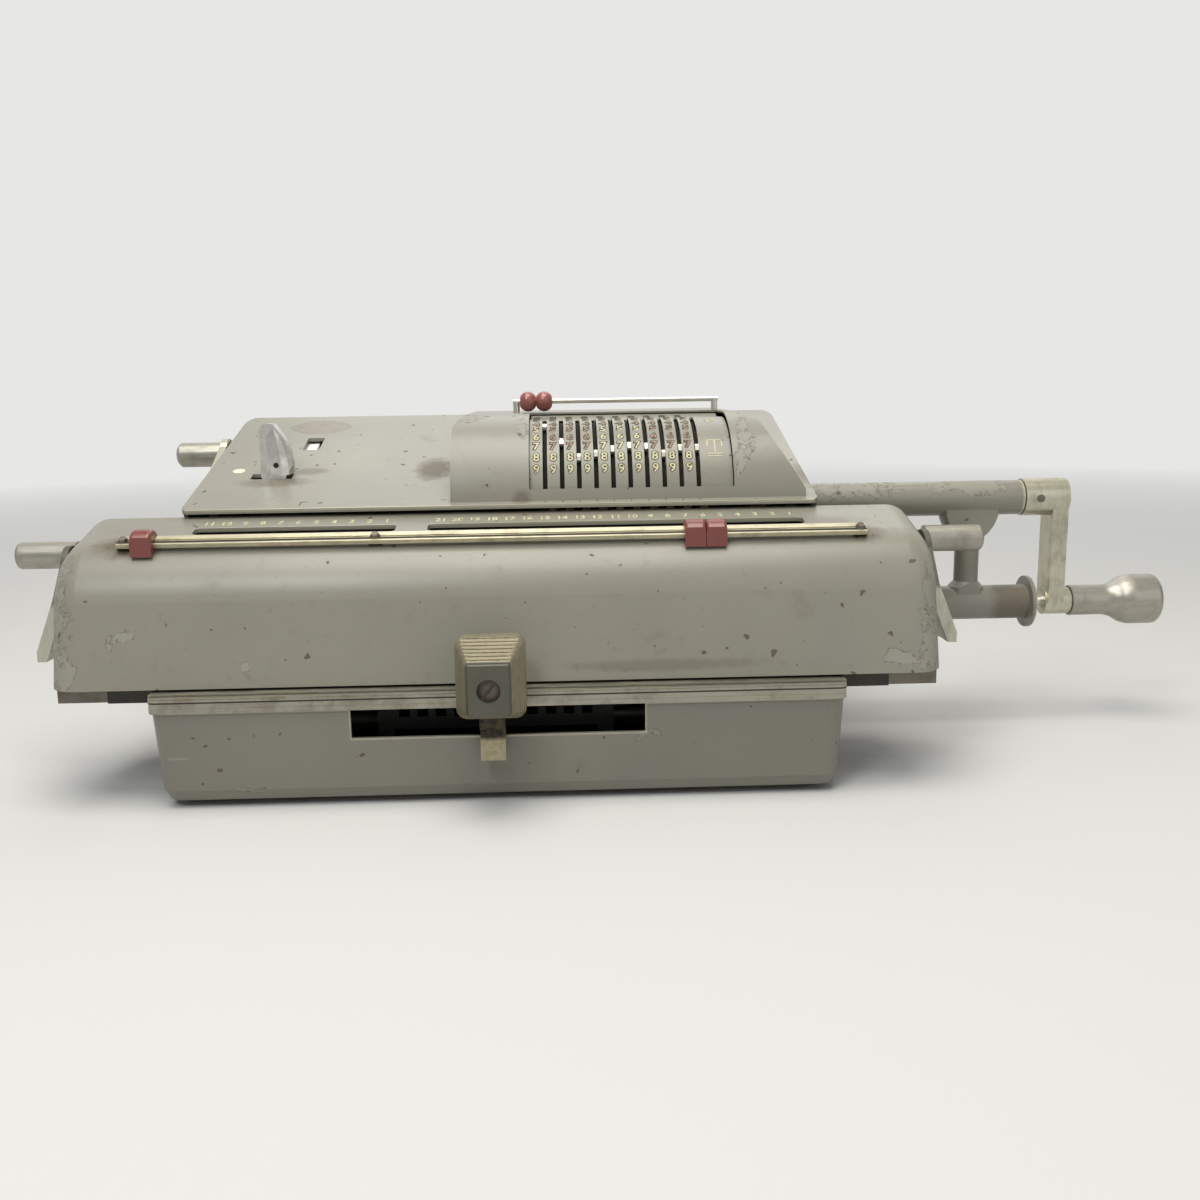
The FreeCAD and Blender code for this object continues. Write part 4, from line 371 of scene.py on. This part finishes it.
# the lens-shaped stain is where two circles meet, their middles set apart along the plate
lensStain = {"x": -90.4, "y": 155, "apart": 6.9, "tone": (0.150, 0.085, 0.048), "strength": 0.62,
             "radii": (0.0165, 0.0165, 0.2)}
lensEnds = [place((lensStain["x"], lensStain["y"] + way * lensStain["apart"], plateZ(lensStain["y"])))
            for way in (-1, 1)]
lens = [(lensStain["tone"], lensStain["strength"], *lensEnds, lensStain["radii"])]
baseChips = [(place((-96, 0, 7)), (0.014, 0.01, 0.002)), (place((54, 0, 25)), (0.006, 0.01, 0.004))]
# inside the base housing, painted near-black as shade
insideBaseShade = ((-115, 8, 3.0), (115, 165, 60))
bracketChips = [(place((205, 92, 108)), (0.03, 0.012, 0.006)), (place((150, 92, 106)), (0.03, 0.012, 0.006))]
bracketGrime = [(place((224, 92, 54)), (0.012, 0.02, 0.02), 0.6),
                (place((180, 90, 60)), (0.02, 0.02, 0.006), 0.5)]
bracketEdges = [(place((234, 97, 54)), (0.0016, 0.02, 0.02)), (place((227.6, 97, 101)), (0.0012, 0.02, 0.02))]
paints = {
    "casePaint": stovePaint("casePaint", 1.0, coverChips, coverGrime, coverEdges, [], lens),
    "carriagePaint": stovePaint("carriagePaint", 0.98, chipPlaces, carriageGrime, carriageEdges, windowLines),
    "basePaint": stovePaint("basePaint", 0.78, baseChips, [], [], baseLines, dark=insideBaseShade),
    "bracketPaint": stovePaint("bracketPaint", 0.98, bracketChips, bracketGrime, bracketEdges),
}
along = (0.05, 1.0, 1.0)
around = (1.0, 0.12, 0.12)
stripFace = slopeOf(layout["stripTilt"])
stripPlace = (0, *layout["strip"])
black = (0.010, 0.009, 0.007)
metals = {
    "steel": barePlate("agedSteel", (0.20, 0.185, 0.155), brown, 0.40, along, 0.5),
    "shoe": barePlate("darkShoe", (0.055, 0.054, 0.048), brown, 0.5, along, 0.3, 0.5),
    # on the rail the black band is painted shade in the groove under the top lip
    "rail": barePlate("drawnRail", (0.38, 0.365, 0.30), brown, 0.30, along, 0.45, 0.85, [
        ((0, 0, 1), (0, 0, 0), 41.15, 41.75, 0.15, black, 0.85),
        ((0, 0, 1), (0, 0, 0), 42.6, 42.85, 0.15, brown, 0.5),
        ((0, 0, 1), (0, 0, 0), 39.2, 39.4, 0.15, brown, 0.3)]),
    "nickel": barePlate("nickelPlate", (0.56, 0.54, 0.42), brown, 0.28, around, 0.4),
    # above 74 mm the clearing levers are painted dark as shade, so their upper arms show little
    "clearing": barePlate("clearingLever", (0.52, 0.52, 0.43), brown, 0.26, around, 0.3, 0.9, [
        ((0, 0, 1), (0, 0, 0), 74.0, 200.0, 3.0, (0.05, 0.045, 0.035), 0.8)]),
    # the dark band across the strip's face is painted shade in its channel
    "strip": barePlate("paleBrassStrip", (0.66, 0.61, 0.44), brown, 0.26, along, 0.4, 0.85, [
        (stripFace, stripPlace, -1.9, -0.6, 0.2, (0.018, 0.015, 0.008), 0.95)]),
    "wire": barePlate("plainWire", (0.72, 0.71, 0.63), brown, 0.24, along, 0.2),
    "brass": barePlate("tarnishedBrass", (0.55, 0.42, 0.20), brown, 0.40, around, 0.5),
    "turned": barePlate("turnedAluminium", (0.40, 0.38, 0.325), (0.10, 0.085, 0.06), 0.30, (0.15, 1.0, 1.0),
                        0.35, 0.65),
    "polished": barePlate("polishedFin", (0.74, 0.74, 0.68), (0.12, 0.10, 0.08), 0.20, (1.0, 1.0, 0.3), 0.35),
}
others = {
    "rose": moulded("fadedRose", (0.185, 0.036, 0.029), brown, 0.24, 0.4, Specular_IOR_Level=0.7),
    "beadRose": moulded("paleRoseBead", (0.270, 0.078, 0.066), brown, 0.20, 0.25, Specular_IOR_Level=0.8),
    "rubber": moulded("footRubber", (0.03, 0.03, 0.03), (0.10, 0.09, 0.07), 0.7, 0.4),
    "black": moulded("windowBlack", (0.014, 0.013, 0.012), brown, 0.45, 0.3),
    "blackened": moulded("blackenedSteel", (0.006, 0.006, 0.005), (0.02, 0.015, 0.01), 0.55, 0.3),
    "wheel": moulded("wheelWhite", (0.62, 0.59, 0.50), brown, 0.45, 0.3),
    "ink": inked("numberInk", (0.025, 0.022, 0.018)),
    "engraved": inked("engravedDark", (0.045, 0.036, 0.022), (0.16, 0.13, 0.085), 0.70),
    "paleInk": inked("paleNumberInk", (0.66, 0.60, 0.35), (0.24, 0.20, 0.13), 0.60),
    "creamFill": inked("creamFill", (0.60, 0.55, 0.33), (0.20, 0.16, 0.085), 0.60),
    "rustFill": inked("rustFill", (0.36, 0.24, 0.15), (0.13, 0.09, 0.05), 0.52),
    "whiteFlag": moulded("whiteFlag", (0.86, 0.85, 0.80), brown, 0.5, 0.1),
    "creamDot": moulded("creamDot", (0.80, 0.74, 0.50), brown, 0.4, 0.2),
    "screwBrown": moulded("brownedScrew", (0.085, 0.060, 0.042), (0.02, 0.015, 0.01), 0.40, 0.5,
                          Specular_IOR_Level=0.8),
}
finishes = {**paints, **metals, **others}
finishes["lever"] = leverSteel("settingLeverSteel")
finishes["knobCast"] = castKnob("shiftKnobCasting")
finishes["pawl"] = pawlMetal("pawlMetal")
print("materials made")

nodeFinish = {
    "base_housing": "basePaint", "upper_cover": "casePaint", "carriage_cover": "carriagePaint",
    "crank_bracket": "bracketPaint", "guide_rail": "rail", "setting_shell": "casePaint",
    "crank_arm": "nickel", "grip_spindle": "wire", "crank_grip": "turned", "pinwheels": "brass",
    "drive_gear": "brass",
    "counter_window_strip": "black", "result_window_strip": "black", "result_wheels": "wheel",
    "counter_wheels": "wheel", "transfer_gears": "brass", "front_marker_strip": "strip",
    "rear_marker_rail": "wire", "counter_clear_knob": "turned", "result_clear_knob": "turned",
    "setting_clear_knob": "turned", "mode_lever": "polished", "shift_knob": "knobCast",
    "shift_pawl": "pawl", "rubber_feet": "rubber", "shaft_bushings": "brass",
    "counter_clear_lever": "clearing", "result_clear_lever": "clearing",
    "setting_clear_lever": "nickel", "position_rack": "blackened",
    "carriage_runner": "shoe", "mode_lever_bracket": "blackened",
}
for name, piece in nodes.items():
    key = nodeFinish.get(name)
    if key is None:
        if "bead" in name:
            key = "beadRose"
        elif "marker_" in name and name[-1].isdigit():
            key = "rose"
        elif name.startswith("setting_lever"):
            key = "lever"
        elif "shoe" in name or "runner" in name or "end_plate" in name:
            key = "shoe"
        else:
            key = "steel"
    piece.data.materials.clear()
    piece.data.materials.append(finishes[key])
print("nodes dressed")


def meshPiece(name, points, faces, finish, body, smooth=False):
    mesh = bpy.data.meshes.new(name)
    mesh.from_pydata(np.asarray(points).tolist(), [], faces)
    mesh.polygons.foreach_set("use_smooth", np.full(len(faces), smooth))
    mesh.update()
    piece = bpy.data.objects.new(name, mesh)
    bpy.context.scene.collection.objects.link(piece)
    piece.data.materials.append(finish)
    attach(piece, body)
    return piece


def gridFaces(rows, columns, closed=False):
    # quads between rows of points; closed joins the last column to the first
    a, b = np.meshgrid(np.arange(rows - 1), np.arange(columns if closed else columns - 1), indexing="ij")
    c = (b + 1) % columns
    quads = np.stack([a * columns + b, a * columns + c, (a + 1) * columns + c, (a + 1) * columns + b], -1)
    return [tuple(quad) for quad in quads.reshape(-1, 4).tolist()]


glyphs = {}


def glyph(sign, weight=0.0):
    # flat outline of a sign, one unit high and centred, as points and faces; weight fattens it
    if (sign, weight) not in glyphs:
        curve = bpy.data.curves.new("sign", "FONT")
        curve.body, curve.resolution_u, curve.align_x, curve.align_y = sign, 2, "CENTER", "CENTER"
        curve.offset = weight
        holder = bpy.data.objects.new("sign", curve)
        bpy.context.scene.collection.objects.link(holder)
        mesh = bpy.data.meshes.new_from_object(holder.evaluated_get(bpy.context.evaluated_depsgraph_get()))
        points = np.zeros(len(mesh.vertices) * 3)
        mesh.vertices.foreach_get("co", points)
        points = points.reshape(-1, 3)[:, :2]
        points -= (points.min(0) + points.max(0)) / 2
        points /= np.ptp(points[:, 1]) / (1 + 2 * weight)
        glyphs[sign, weight] = points, [tuple(polygon.vertices) for polygon in mesh.polygons]
        bpy.data.objects.remove(holder)
        bpy.data.curves.remove(curve)
        bpy.data.meshes.remove(mesh)
    return glyphs[sign, weight]


def stamped(name, signs, finish, body, weight=0.0):
    # one mesh of many signs; each is (sign, centre, right, up, height) in millimetres
    points, faces, count = [], [], 0
    for sign, centre, right, up, height in signs:
        flat, polygons = glyph(sign, weight)
        centre, right, up = map(np.asarray, (centre, right, up))
        points.append(centre + height * (flat[:, :1] * right + flat[:, 1:] * up))
        faces += [tuple(corner + count for corner in polygon) for polygon in polygons]
        count += len(flat)
    return meshPiece(name, place(np.concatenate(points)), faces, finish, body)


shellMarks = {"digitHeight": 3.9, "lift": 0.06, "windowShift": -3.5, "outline": 0.105, "bold": 0.012,
              "creamFrom": 8, "creamColumns": (0, 4, 5, 6), "creamAbove": 4, "signLift": 0.08}
# counting signs: place along X, degrees up the shell, half width and half height of each bar
shellBars = (
    (88.0, 44, 0.25, 3.4), (88.0, 38.5, 3.0, 0.25), (88.0, 36.5, 3.0, 0.25), (88.0, 49.5, 3.0, 0.25),
    (85.0, 46.5, 0.25, 1.6), (91.0, 46.5, 0.25, 1.6), (87.2, 74, 0.3, 2.4), (88.4, 76, 1.6, 0.35),
    (88.4, 73, 1.1, 0.35),
)


def onShell(x, degrees, lift):
    # a point on the shell at an angle above its front, with the way up along the surface
    y, z = layout["drum"]
    a = math.radians(degrees)
    radius = layout["shellRadius"] + lift
    return (x, y - radius * math.cos(a), z + radius * math.sin(a)), (0, math.sin(a), math.cos(a))


def shellDigits():
    # nine to nought down each slot: a dark outline for the sunk strokes, partly dirt in them and partly
    # painted shade, with worn filling on it
    dark, cream, rust = [], [], []
    for column in range(layout["slotCount"]):
        x = layout["slotFirstX"] + column * layout["pitch"] + shellMarks["windowShift"]
        for digit in range(10):
            degrees = layout["nineAngle"] + (9 - digit) * layout["stepAngle"]
            kept = column in shellMarks["creamColumns"] and digit > shellMarks["creamAbove"]
            fill = cream if digit >= shellMarks["creamFrom"] or kept else rust
            for signs, lift in ((dark, 0.5), (fill, 1.5)):
                centre, up = onShell(x, degrees, shellMarks["lift"] * lift)
                signs.append((str(digit), centre, (1, 0, 0), up, shellMarks["digitHeight"]))
    stamped("shell_digit_outlines", dark, others["engraved"], "machine",
            shellMarks["outline"])
    stamped("shell_digits", cream, others["creamFill"], "machine", shellMarks["bold"])
    stamped("shell_digits_faded", rust, others["rustFill"], "machine", shellMarks["bold"])


def strokes(name, bars, finish, body):
    # flat bars, each given by its centre and its half length and half width as vectors, in millimetres
    points, faces = [], []
    for centre, way, across in bars:
        centre, way, across = map(np.asarray, (centre, way, across))
        faces.append(tuple(range(len(points), len(points) + 4)))
        points += [centre - way - across, centre + way - across, centre + way + across, centre - way + across]
    return meshPiece(name, place(points), faces, finish, body)


def shellSigns():
    # counting signs right of the last slot, as plain bars
    bars = []
    for x, degrees, halfAcross, halfUp in shellBars:
        centre, up = onShell(x, degrees, shellMarks["signLift"])
        bars.append((centre, (halfAcross, 0, 0), tuple(halfUp * c for c in up)))
    return strokes("shell_signs", bars, others["creamFill"], "machine")


wheelMarks = {"lift": 0.03, "height": 3.4, "digits": 10}


def wheelDigits(name, firstX, count, body):
    # ten digits round every wheel, the nought square to its window
    y, z = layout["register"]
    radius = layout["wheelRadius"] + wheelMarks["lift"]
    signs = []
    for column in range(count):
        for digit in range(wheelMarks["digits"]):
            a = math.radians(layout["carriageSlope"] + 360 / wheelMarks["digits"] * digit)
            centre = (firstX + column * layout["pitch"], y - radius * math.sin(a), z + radius * math.cos(a))
            signs.append((str(digit), centre, (1, 0, 0), (0, math.cos(a), math.sin(a)), wheelMarks["height"]))
    return stamped(name, signs, others["ink"], body)


placeMarks = {"back": 8.0, "height": 3.3, "indexRun": 6.6, "tickRun": 2.7, "tick": (0.18, 0.9), "lift": 0.06,
              "signX": -81.7, "signRun": 5.1, "signStem": (0.2, 2.0), "armX": 1.3, "armRun": 1.9,
              "signArm": (1.4, 0.2), "bold": 0.015}


def placeNumbers():
    # place numbers over the windows; index numbers, ticks and a small sign on the sloping plate
    up = slopeOf(layout["carriageSlope"])
    out = (0, -up[2], up[1])
    y, z = layout["carriageRear"]
    lift, back = placeMarks["lift"], placeMarks["back"]
    spotY, spotZ = y - back * up[1] + lift * out[1], z - back * up[2] + lift * out[2]
    signs = []
    for firstX, count in registers:
        signs += [(str(count - column), (firstX + column * layout["pitch"], spotY, spotZ), (1, 0, 0), up,
                   placeMarks["height"]) for column in range(count)]
    stamped("carriage_numbers", signs, others["paleInk"], "carriage", placeMarks["bold"])
    up = slopeOf(layout["plateSlope"])
    out = (0, -up[2], up[1])
    y, z = layout["plateFront"]

    def onPlate(x, run):
        return (x, y + run * up[1] + lift * out[1], z + run * up[2] + lift * out[2])

    def bar(x, run, halves):
        return onPlate(x, run), (halves[0], 0, 0), tuple(halves[1] * c for c in up)

    columns = [layout["slotFirstX"] + column * layout["pitch"] for column in range(layout["slotCount"])]
    signs = [(str(layout["slotCount"] - number), onPlate(x, placeMarks["indexRun"]), (1, 0, 0), up,
              placeMarks["height"]) for number, x in enumerate(columns)]
    stamped("index_numbers", signs, others["paleInk"], "machine", placeMarks["bold"])
    signX, signRun = placeMarks["signX"], placeMarks["signRun"]
    ticks = [bar(x, placeMarks["tickRun"], placeMarks["tick"]) for x in columns]
    ticks += [bar(signX, signRun, placeMarks["signStem"]),
              bar(signX + placeMarks["armX"], signRun + placeMarks["armRun"], placeMarks["signArm"])]
    strokes("index_ticks", ticks, others["ink"], "machine")


shellDigits()
shellSigns()
wheelDigits("result_digits", layout["resultFirstX"], layout["resultCount"], "result_register")
wheelDigits("counter_digits", layout["counterFirstX"], layout["counterCount"], "counter_register")
placeNumbers()
print("digits stamped")


screw = {"radius": 3.9, "dome": 0.55, "rim": 0.5, "slotHalf": 0.55, "slotDepth": 0.9, "slotAngle": 52.0,
         "steps": 9, "around": 33, "sunk": 0.2, "skirt": 0.15}


def slottedHead(name, centre, depth, body):
    # domed head facing the front: rows of chords across the slot, lower with the square of the radius
    radius, half = screw["radius"], screw["slotHalf"]
    side = np.sin(np.linspace(0, math.pi / 2, screw["steps"]))
    far = half + (radius - half) * side
    rows = np.concatenate([-far[::-1], [-half * 0.98, half * 0.98], far])
    sunk = np.abs(rows) < half * 0.99
    chord = np.linspace(-1, 1, screw["around"])[None, :]
    v = np.repeat(rows[:, None], screw["around"], 1)
    u = chord * np.sqrt(np.maximum(radius ** 2 - v ** 2, 1e-6))
    height = screw["dome"] * (1 - (u ** 2 + v ** 2) / radius ** 2) + screw["rim"]
    height = np.where(sunk[:, None], screw["rim"] + screw["dome"] - screw["slotDepth"], height)
    turn = math.radians(screw["slotAngle"])
    x = u * math.cos(turn) - v * math.sin(turn)
    z = u * math.sin(turn) + v * math.cos(turn)
    points = np.stack([centre[0] + x, centre[1] - height, centre[2] + z], -1)
    rim = np.concatenate([points[0], points[:, -1], points[-1, ::-1], points[::-1, 0]])
    foot = rim.copy()
    foot[:, 1] = centre[1] + depth
    count = points.shape[0] * points.shape[1]
    faces = gridFaces(points.shape[0], points.shape[1])
    n = len(rim)
    faces += [(count + i, count + n + i, count + n + (i + 1) % n, count + (i + 1) % n) for i in range(n)]
    points = place(np.concatenate([points.reshape(-1, 3), rim, foot]))
    return meshPiece(name, points, faces, others["screwBrown"], body)


discGrid = {"rings": 6, "around": 28, "inner": 0.02}


def disc(name, centre, right, up, out, radius, crown, finish, body):
    # a low crowned disc: height falls from the crown to nothing with the square of the radius
    rings, around = discGrid["rings"], discGrid["around"]
    turn, reach = np.meshgrid(np.linspace(0, 2 * math.pi, around, endpoint=False),
                              np.linspace(1, discGrid["inner"], rings))
    turn, reach = turn[..., None], reach[..., None]
    right, up, out = (np.asarray(way, float) for way in (right, up, out))
    points = np.asarray(centre) + radius * reach * (np.cos(turn) * right + np.sin(turn) * up)
    points = points + crown * (1 - reach ** 2) * out
    faces = gridFaces(rings, around, True) + [tuple(range((rings - 1) * around, rings * around))]
    return meshPiece(name, place(points.reshape(-1, 3)), faces, finish, body, True)


def box(name, low, high, finish, body, tilt):
    # a block whose top and bottom rise with y by the tilt, for flags and tabs under the plate
    xs, ys, zs = zip(low, high)
    corners = np.array([(x, y, z) for z in zs for y in ys for x in xs], float)
    corners[:, 2] += (corners[:, 1] - low[1]) * tilt
    faces = [(0, 2, 3, 1), (4, 5, 7, 6), (0, 1, 5, 4), (2, 6, 7, 3), (0, 4, 6, 2), (1, 3, 7, 5)]
    return meshPiece(name, place(corners), faces, finish, body)


screwLow, screwHigh = (((np.asarray(corner) - shift) * 1000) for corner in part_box("shift_knob_screw"))
screwAt = (screwLow + screwHigh) / 2
screwAt[1] = screwHigh[1] - screw["sunk"]
screwHead = slottedHead("shift_knob_screw_head", screwAt, screw["skirt"], "shift_handle")
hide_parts("shift_knob_screw")
plateUp = slopeOf(layout["plateSlope"])
plateOut = (0, -plateUp[2], plateUp[1])
dot = {"x": -115.6, "y": 98.0, "radius": 2.6, "crown": 0.35}
disc("cover_dot", (dot["x"], dot["y"], plateZ(dot["y"])), (1, 0, 0), plateUp, plateOut, dot["radius"],
     dot["crown"], others["creamDot"], "machine")
slopeRise = math.tan(math.radians(layout["plateSlope"]))
flag = {"low": (-94.2, 131.5), "high": (-88.6, 146.0), "drop": 2.9, "thick": 1.2}
flagTop = plateZ(flag["low"][1]) - flag["drop"]
box("mode_flag", (*flag["low"], flagTop - flag["thick"]), (*flag["high"], flagTop), others["whiteFlag"],
    "mode", slopeRise)

fin = {"heights": (0.0, 4.0, 9.0, 14.0, 18.0, 20.9), "left": (-5.6, -5.3, -5.3, -5.0, -4.2, -1.6),
       "ridge": (4.2, 3.9, 3.2, 2.4, 1.2, 0.0), "right": (8.3, 8.5, 7.6, 5.6, 3.2, 1.3),
       "ridgeOut": (3.6, 3.8, 3.6, 3.2, 2.7, 2.3), "lift": 1.5, "rows": 18, "leftFront": -1.6, "back": 2.55,
       "rightFront": -0.2, "cheek": -2.4, "hole": (1.6, -3.75, 3.4), "holeRadius": 1.15, "holeCrown": 0.1}


def modeFin():
    # a polished fin: sections of left edge, front ridge and right edge, read smoothly off a few heights
    base = plateZ(layout["modeY"]) + fin["lift"]
    at = np.linspace(0, fin["heights"][-1], fin["rows"])
    left, ridge, right, out = (np.interp(at, fin["heights"], fin[key])
                               for key in ("left", "ridge", "right", "ridgeOut"))
    sides = [(left, fin["leftFront"]), (left, fin["back"]), (right, fin["back"]), (right, fin["rightFront"]),
             (ridge * 0.4 + right * 0.6, fin["cheek"])]
    ring = [(x, np.full_like(at, y)) for x, y in sides]
    ring += [(ridge, -out), (ridge * 0.5 + left * 0.5, -out * 0.86)]
    x = np.stack([pair[0] for pair in ring], 1)
    y = np.stack([pair[1] for pair in ring], 1)
    z = base + at[:, None] + y * slopeRise * (1 - at[:, None] / at[-1])
    points = np.stack([layout["modeX"] + x, layout["modeY"] + y, z], -1)
    count = len(ring)
    faces = gridFaces(len(at), count, True)
    faces += [tuple(range(count))[::-1], tuple(range((len(at) - 1) * count, len(at) * count))]
    meshPiece("mode_fin_faces", place(points.reshape(-1, 3)), faces, metals["polished"], "mode")
    # a near-black disc on the front facet is painted shade of a hole in the fin
    x, y, rise = fin["hole"]
    centre = (layout["modeX"] + x, layout["modeY"] + y, base + rise)
    return disc("mode_fin_hole_shade", centre, (1, 0, 0), (0, 0, 1), (0, -1, 0), fin["holeRadius"],
                fin["holeCrown"], others["blackened"], "mode")


studio = {"floorReach": 4.0, "wallBack": 1.6, "bend": 0.8, "bendSteps": 24, "wallTop": 4.0,
          "floorTone": (0.60, 0.60, 0.59), "backTone": (0.80, 0.80, 0.79), "skyTone": (0.97, 0.97, 0.96),
          "skyLight": 0.26, "fadeFrom": 1.15, "fadeOver": 1.3}
camera = {"place": (23.46, -419.01, 152.59), "pitch": 10.32, "yaw": 1.87, "roll": -0.87,
          "focalPixels": 1174.19, "picture": 1200, "sensor": 36.0, "near": 0.01, "far": 50}
lamps = {
    "key": {"at": (-0.10, -0.22, 1.30), "size": 0.9, "power": 16.0, "tone": (1.0, 0.97, 0.90)},
    "window": {"at": (-0.42, -0.85, 0.95), "size": 0.35, "power": 4.4, "tone": (0.93, 0.96, 1.0)},
    "fill": {"at": (0.75, -1.05, 0.60), "size": 1.0, "power": 2.4, "tone": (1.0, 1.0, 1.0)},
    "back": {"at": (0.1, 1.0, 1.2), "size": 1.2, "power": 5.0, "tone": (1.0, 1.0, 1.0)},
}


def makeCamera():
    pitch, yaw, roll = (math.radians(camera[key]) for key in ("pitch", "yaw", "roll"))
    ahead = np.array([math.sin(yaw) * math.cos(pitch), math.cos(yaw) * math.cos(pitch), -math.sin(pitch)])
    level = np.array([math.cos(yaw), -math.sin(yaw), 0.0])
    up = np.cross(level, ahead)
    right = level * math.cos(roll) + up * math.sin(roll)
    top = up * math.cos(roll) - level * math.sin(roll)
    data = bpy.data.cameras.new("camera")
    data.sensor_width = camera["sensor"]
    data.lens = camera["sensor"] * camera["focalPixels"] / camera["picture"]
    data.clip_start, data.clip_end = camera["near"], camera["far"]
    holder = bpy.data.objects.new("camera", data)
    turn = np.eye(4)
    turn[:3, 0], turn[:3, 1], turn[:3, 2], turn[:3, 3] = right, top, -ahead, place(camera["place"])
    holder.matrix_world = Matrix(turn.tolist())
    bpy.context.scene.collection.objects.link(holder)
    bpy.context.scene.camera = holder


def makeStudio():
    # a sweep: floor, quarter bend of the given radius, wall, as a profile carried along X
    back, radius = studio["wallBack"], studio["bend"]
    bend = np.linspace(0, math.pi / 2, studio["bendSteps"])
    floor = np.array([[-studio["floorReach"], 0.0]])
    curve = np.stack([back + radius * np.sin(bend), radius * (1 - np.cos(bend))], 1)
    wall = np.array([[back + radius, studio["wallTop"]]])
    profile = np.concatenate([floor, curve, wall])
    xs = np.array([-studio["floorReach"] * 1.5, studio["floorReach"] * 1.5])
    grid = np.stack([np.repeat(xs, len(profile)), np.tile(profile[:, 0], 2), np.tile(profile[:, 1], 2)], 1)
    n = len(profile)
    faces = [(i, n + i, n + i + 1, i + 1) for i in range(n - 1)]
    mesh = bpy.data.meshes.new("sweep")
    mesh.from_pydata(grid.tolist(), [], faces)
    mesh.polygons.foreach_set("use_smooth", np.full(len(faces), True))
    sweep = bpy.data.objects.new("sweep", mesh)
    bpy.context.scene.collection.objects.link(sweep)
    f = Finish("sweepPaper")
    paper = f.done(studio["floorTone"], 0.8, Specular_IOR_Level=0.1)
    rays = [f.node("ShaderNodeLightPath", {}, {}, ray)
            for ray in ("Is Camera Ray", "Is Glossy Ray", "Is Transmission Ray")]
    seen = (rays[0] + rays[1] + rays[2]).held()
    far = f.length(f.vector("MULTIPLY", f.where, (1, 1, 0))).above(studio["fadeFrom"], studio["fadeOver"])
    glow = f.node("ShaderNodeEmission", {}, {"Color": (*studio["backTone"], 1), "Strength": 1.0})
    shader = f.tree.nodes["Principled BSDF"]
    blend = f.node("ShaderNodeMixShader", {}, {0: seen * far, 1: Wire(f, shader.outputs[0]), 2: glow})
    f.tree.links.new(blend.socket, f.tree.nodes["Material Output"].inputs["Surface"])
    sweep.data.materials.append(paper)
    world = bpy.data.worlds.new("studioWorld")
    bpy.context.scene.world = world
    world.use_nodes = True
    tree = world.node_tree
    light = tree.nodes["Background"]
    light.inputs["Color"].default_value = (*studio["skyTone"], 1)
    light.inputs["Strength"].default_value = studio["skyLight"]
    shown = tree.nodes.new("ShaderNodeBackground")
    shown.inputs["Color"].default_value = (*studio["backTone"], 1)
    ray, blend = tree.nodes.new("ShaderNodeLightPath"), tree.nodes.new("ShaderNodeMixShader")
    tree.links.new(ray.outputs["Is Camera Ray"], blend.inputs[0])
    tree.links.new(light.outputs[0], blend.inputs[1])
    tree.links.new(shown.outputs[0], blend.inputs[2])
    tree.links.new(blend.outputs[0], tree.nodes["World Output"].inputs["Surface"])


def makeLamps():
    for name, lamp in lamps.items():
        data = bpy.data.lights.new(name, "AREA")
        data.size, data.energy, data.color = lamp["size"], lamp["power"], lamp["tone"]
        holder = bpy.data.objects.new(name, data)
        spot = np.array(lamp["at"])
        aim = spot / np.linalg.norm(spot)
        side = np.cross((0, 0, 1), aim)
        side /= np.linalg.norm(side)
        turn = np.eye(4)
        turn[:3, 0], turn[:3, 1], turn[:3, 2], turn[:3, 3] = side, np.cross(aim, side), aim, spot
        holder.matrix_world = Matrix(turn.tolist())
        bpy.context.scene.collection.objects.link(holder)


modeFin()
makeCamera()
makeStudio()
makeLamps()
bpy.context.scene.view_settings.view_transform = "Standard"
print("studio set")
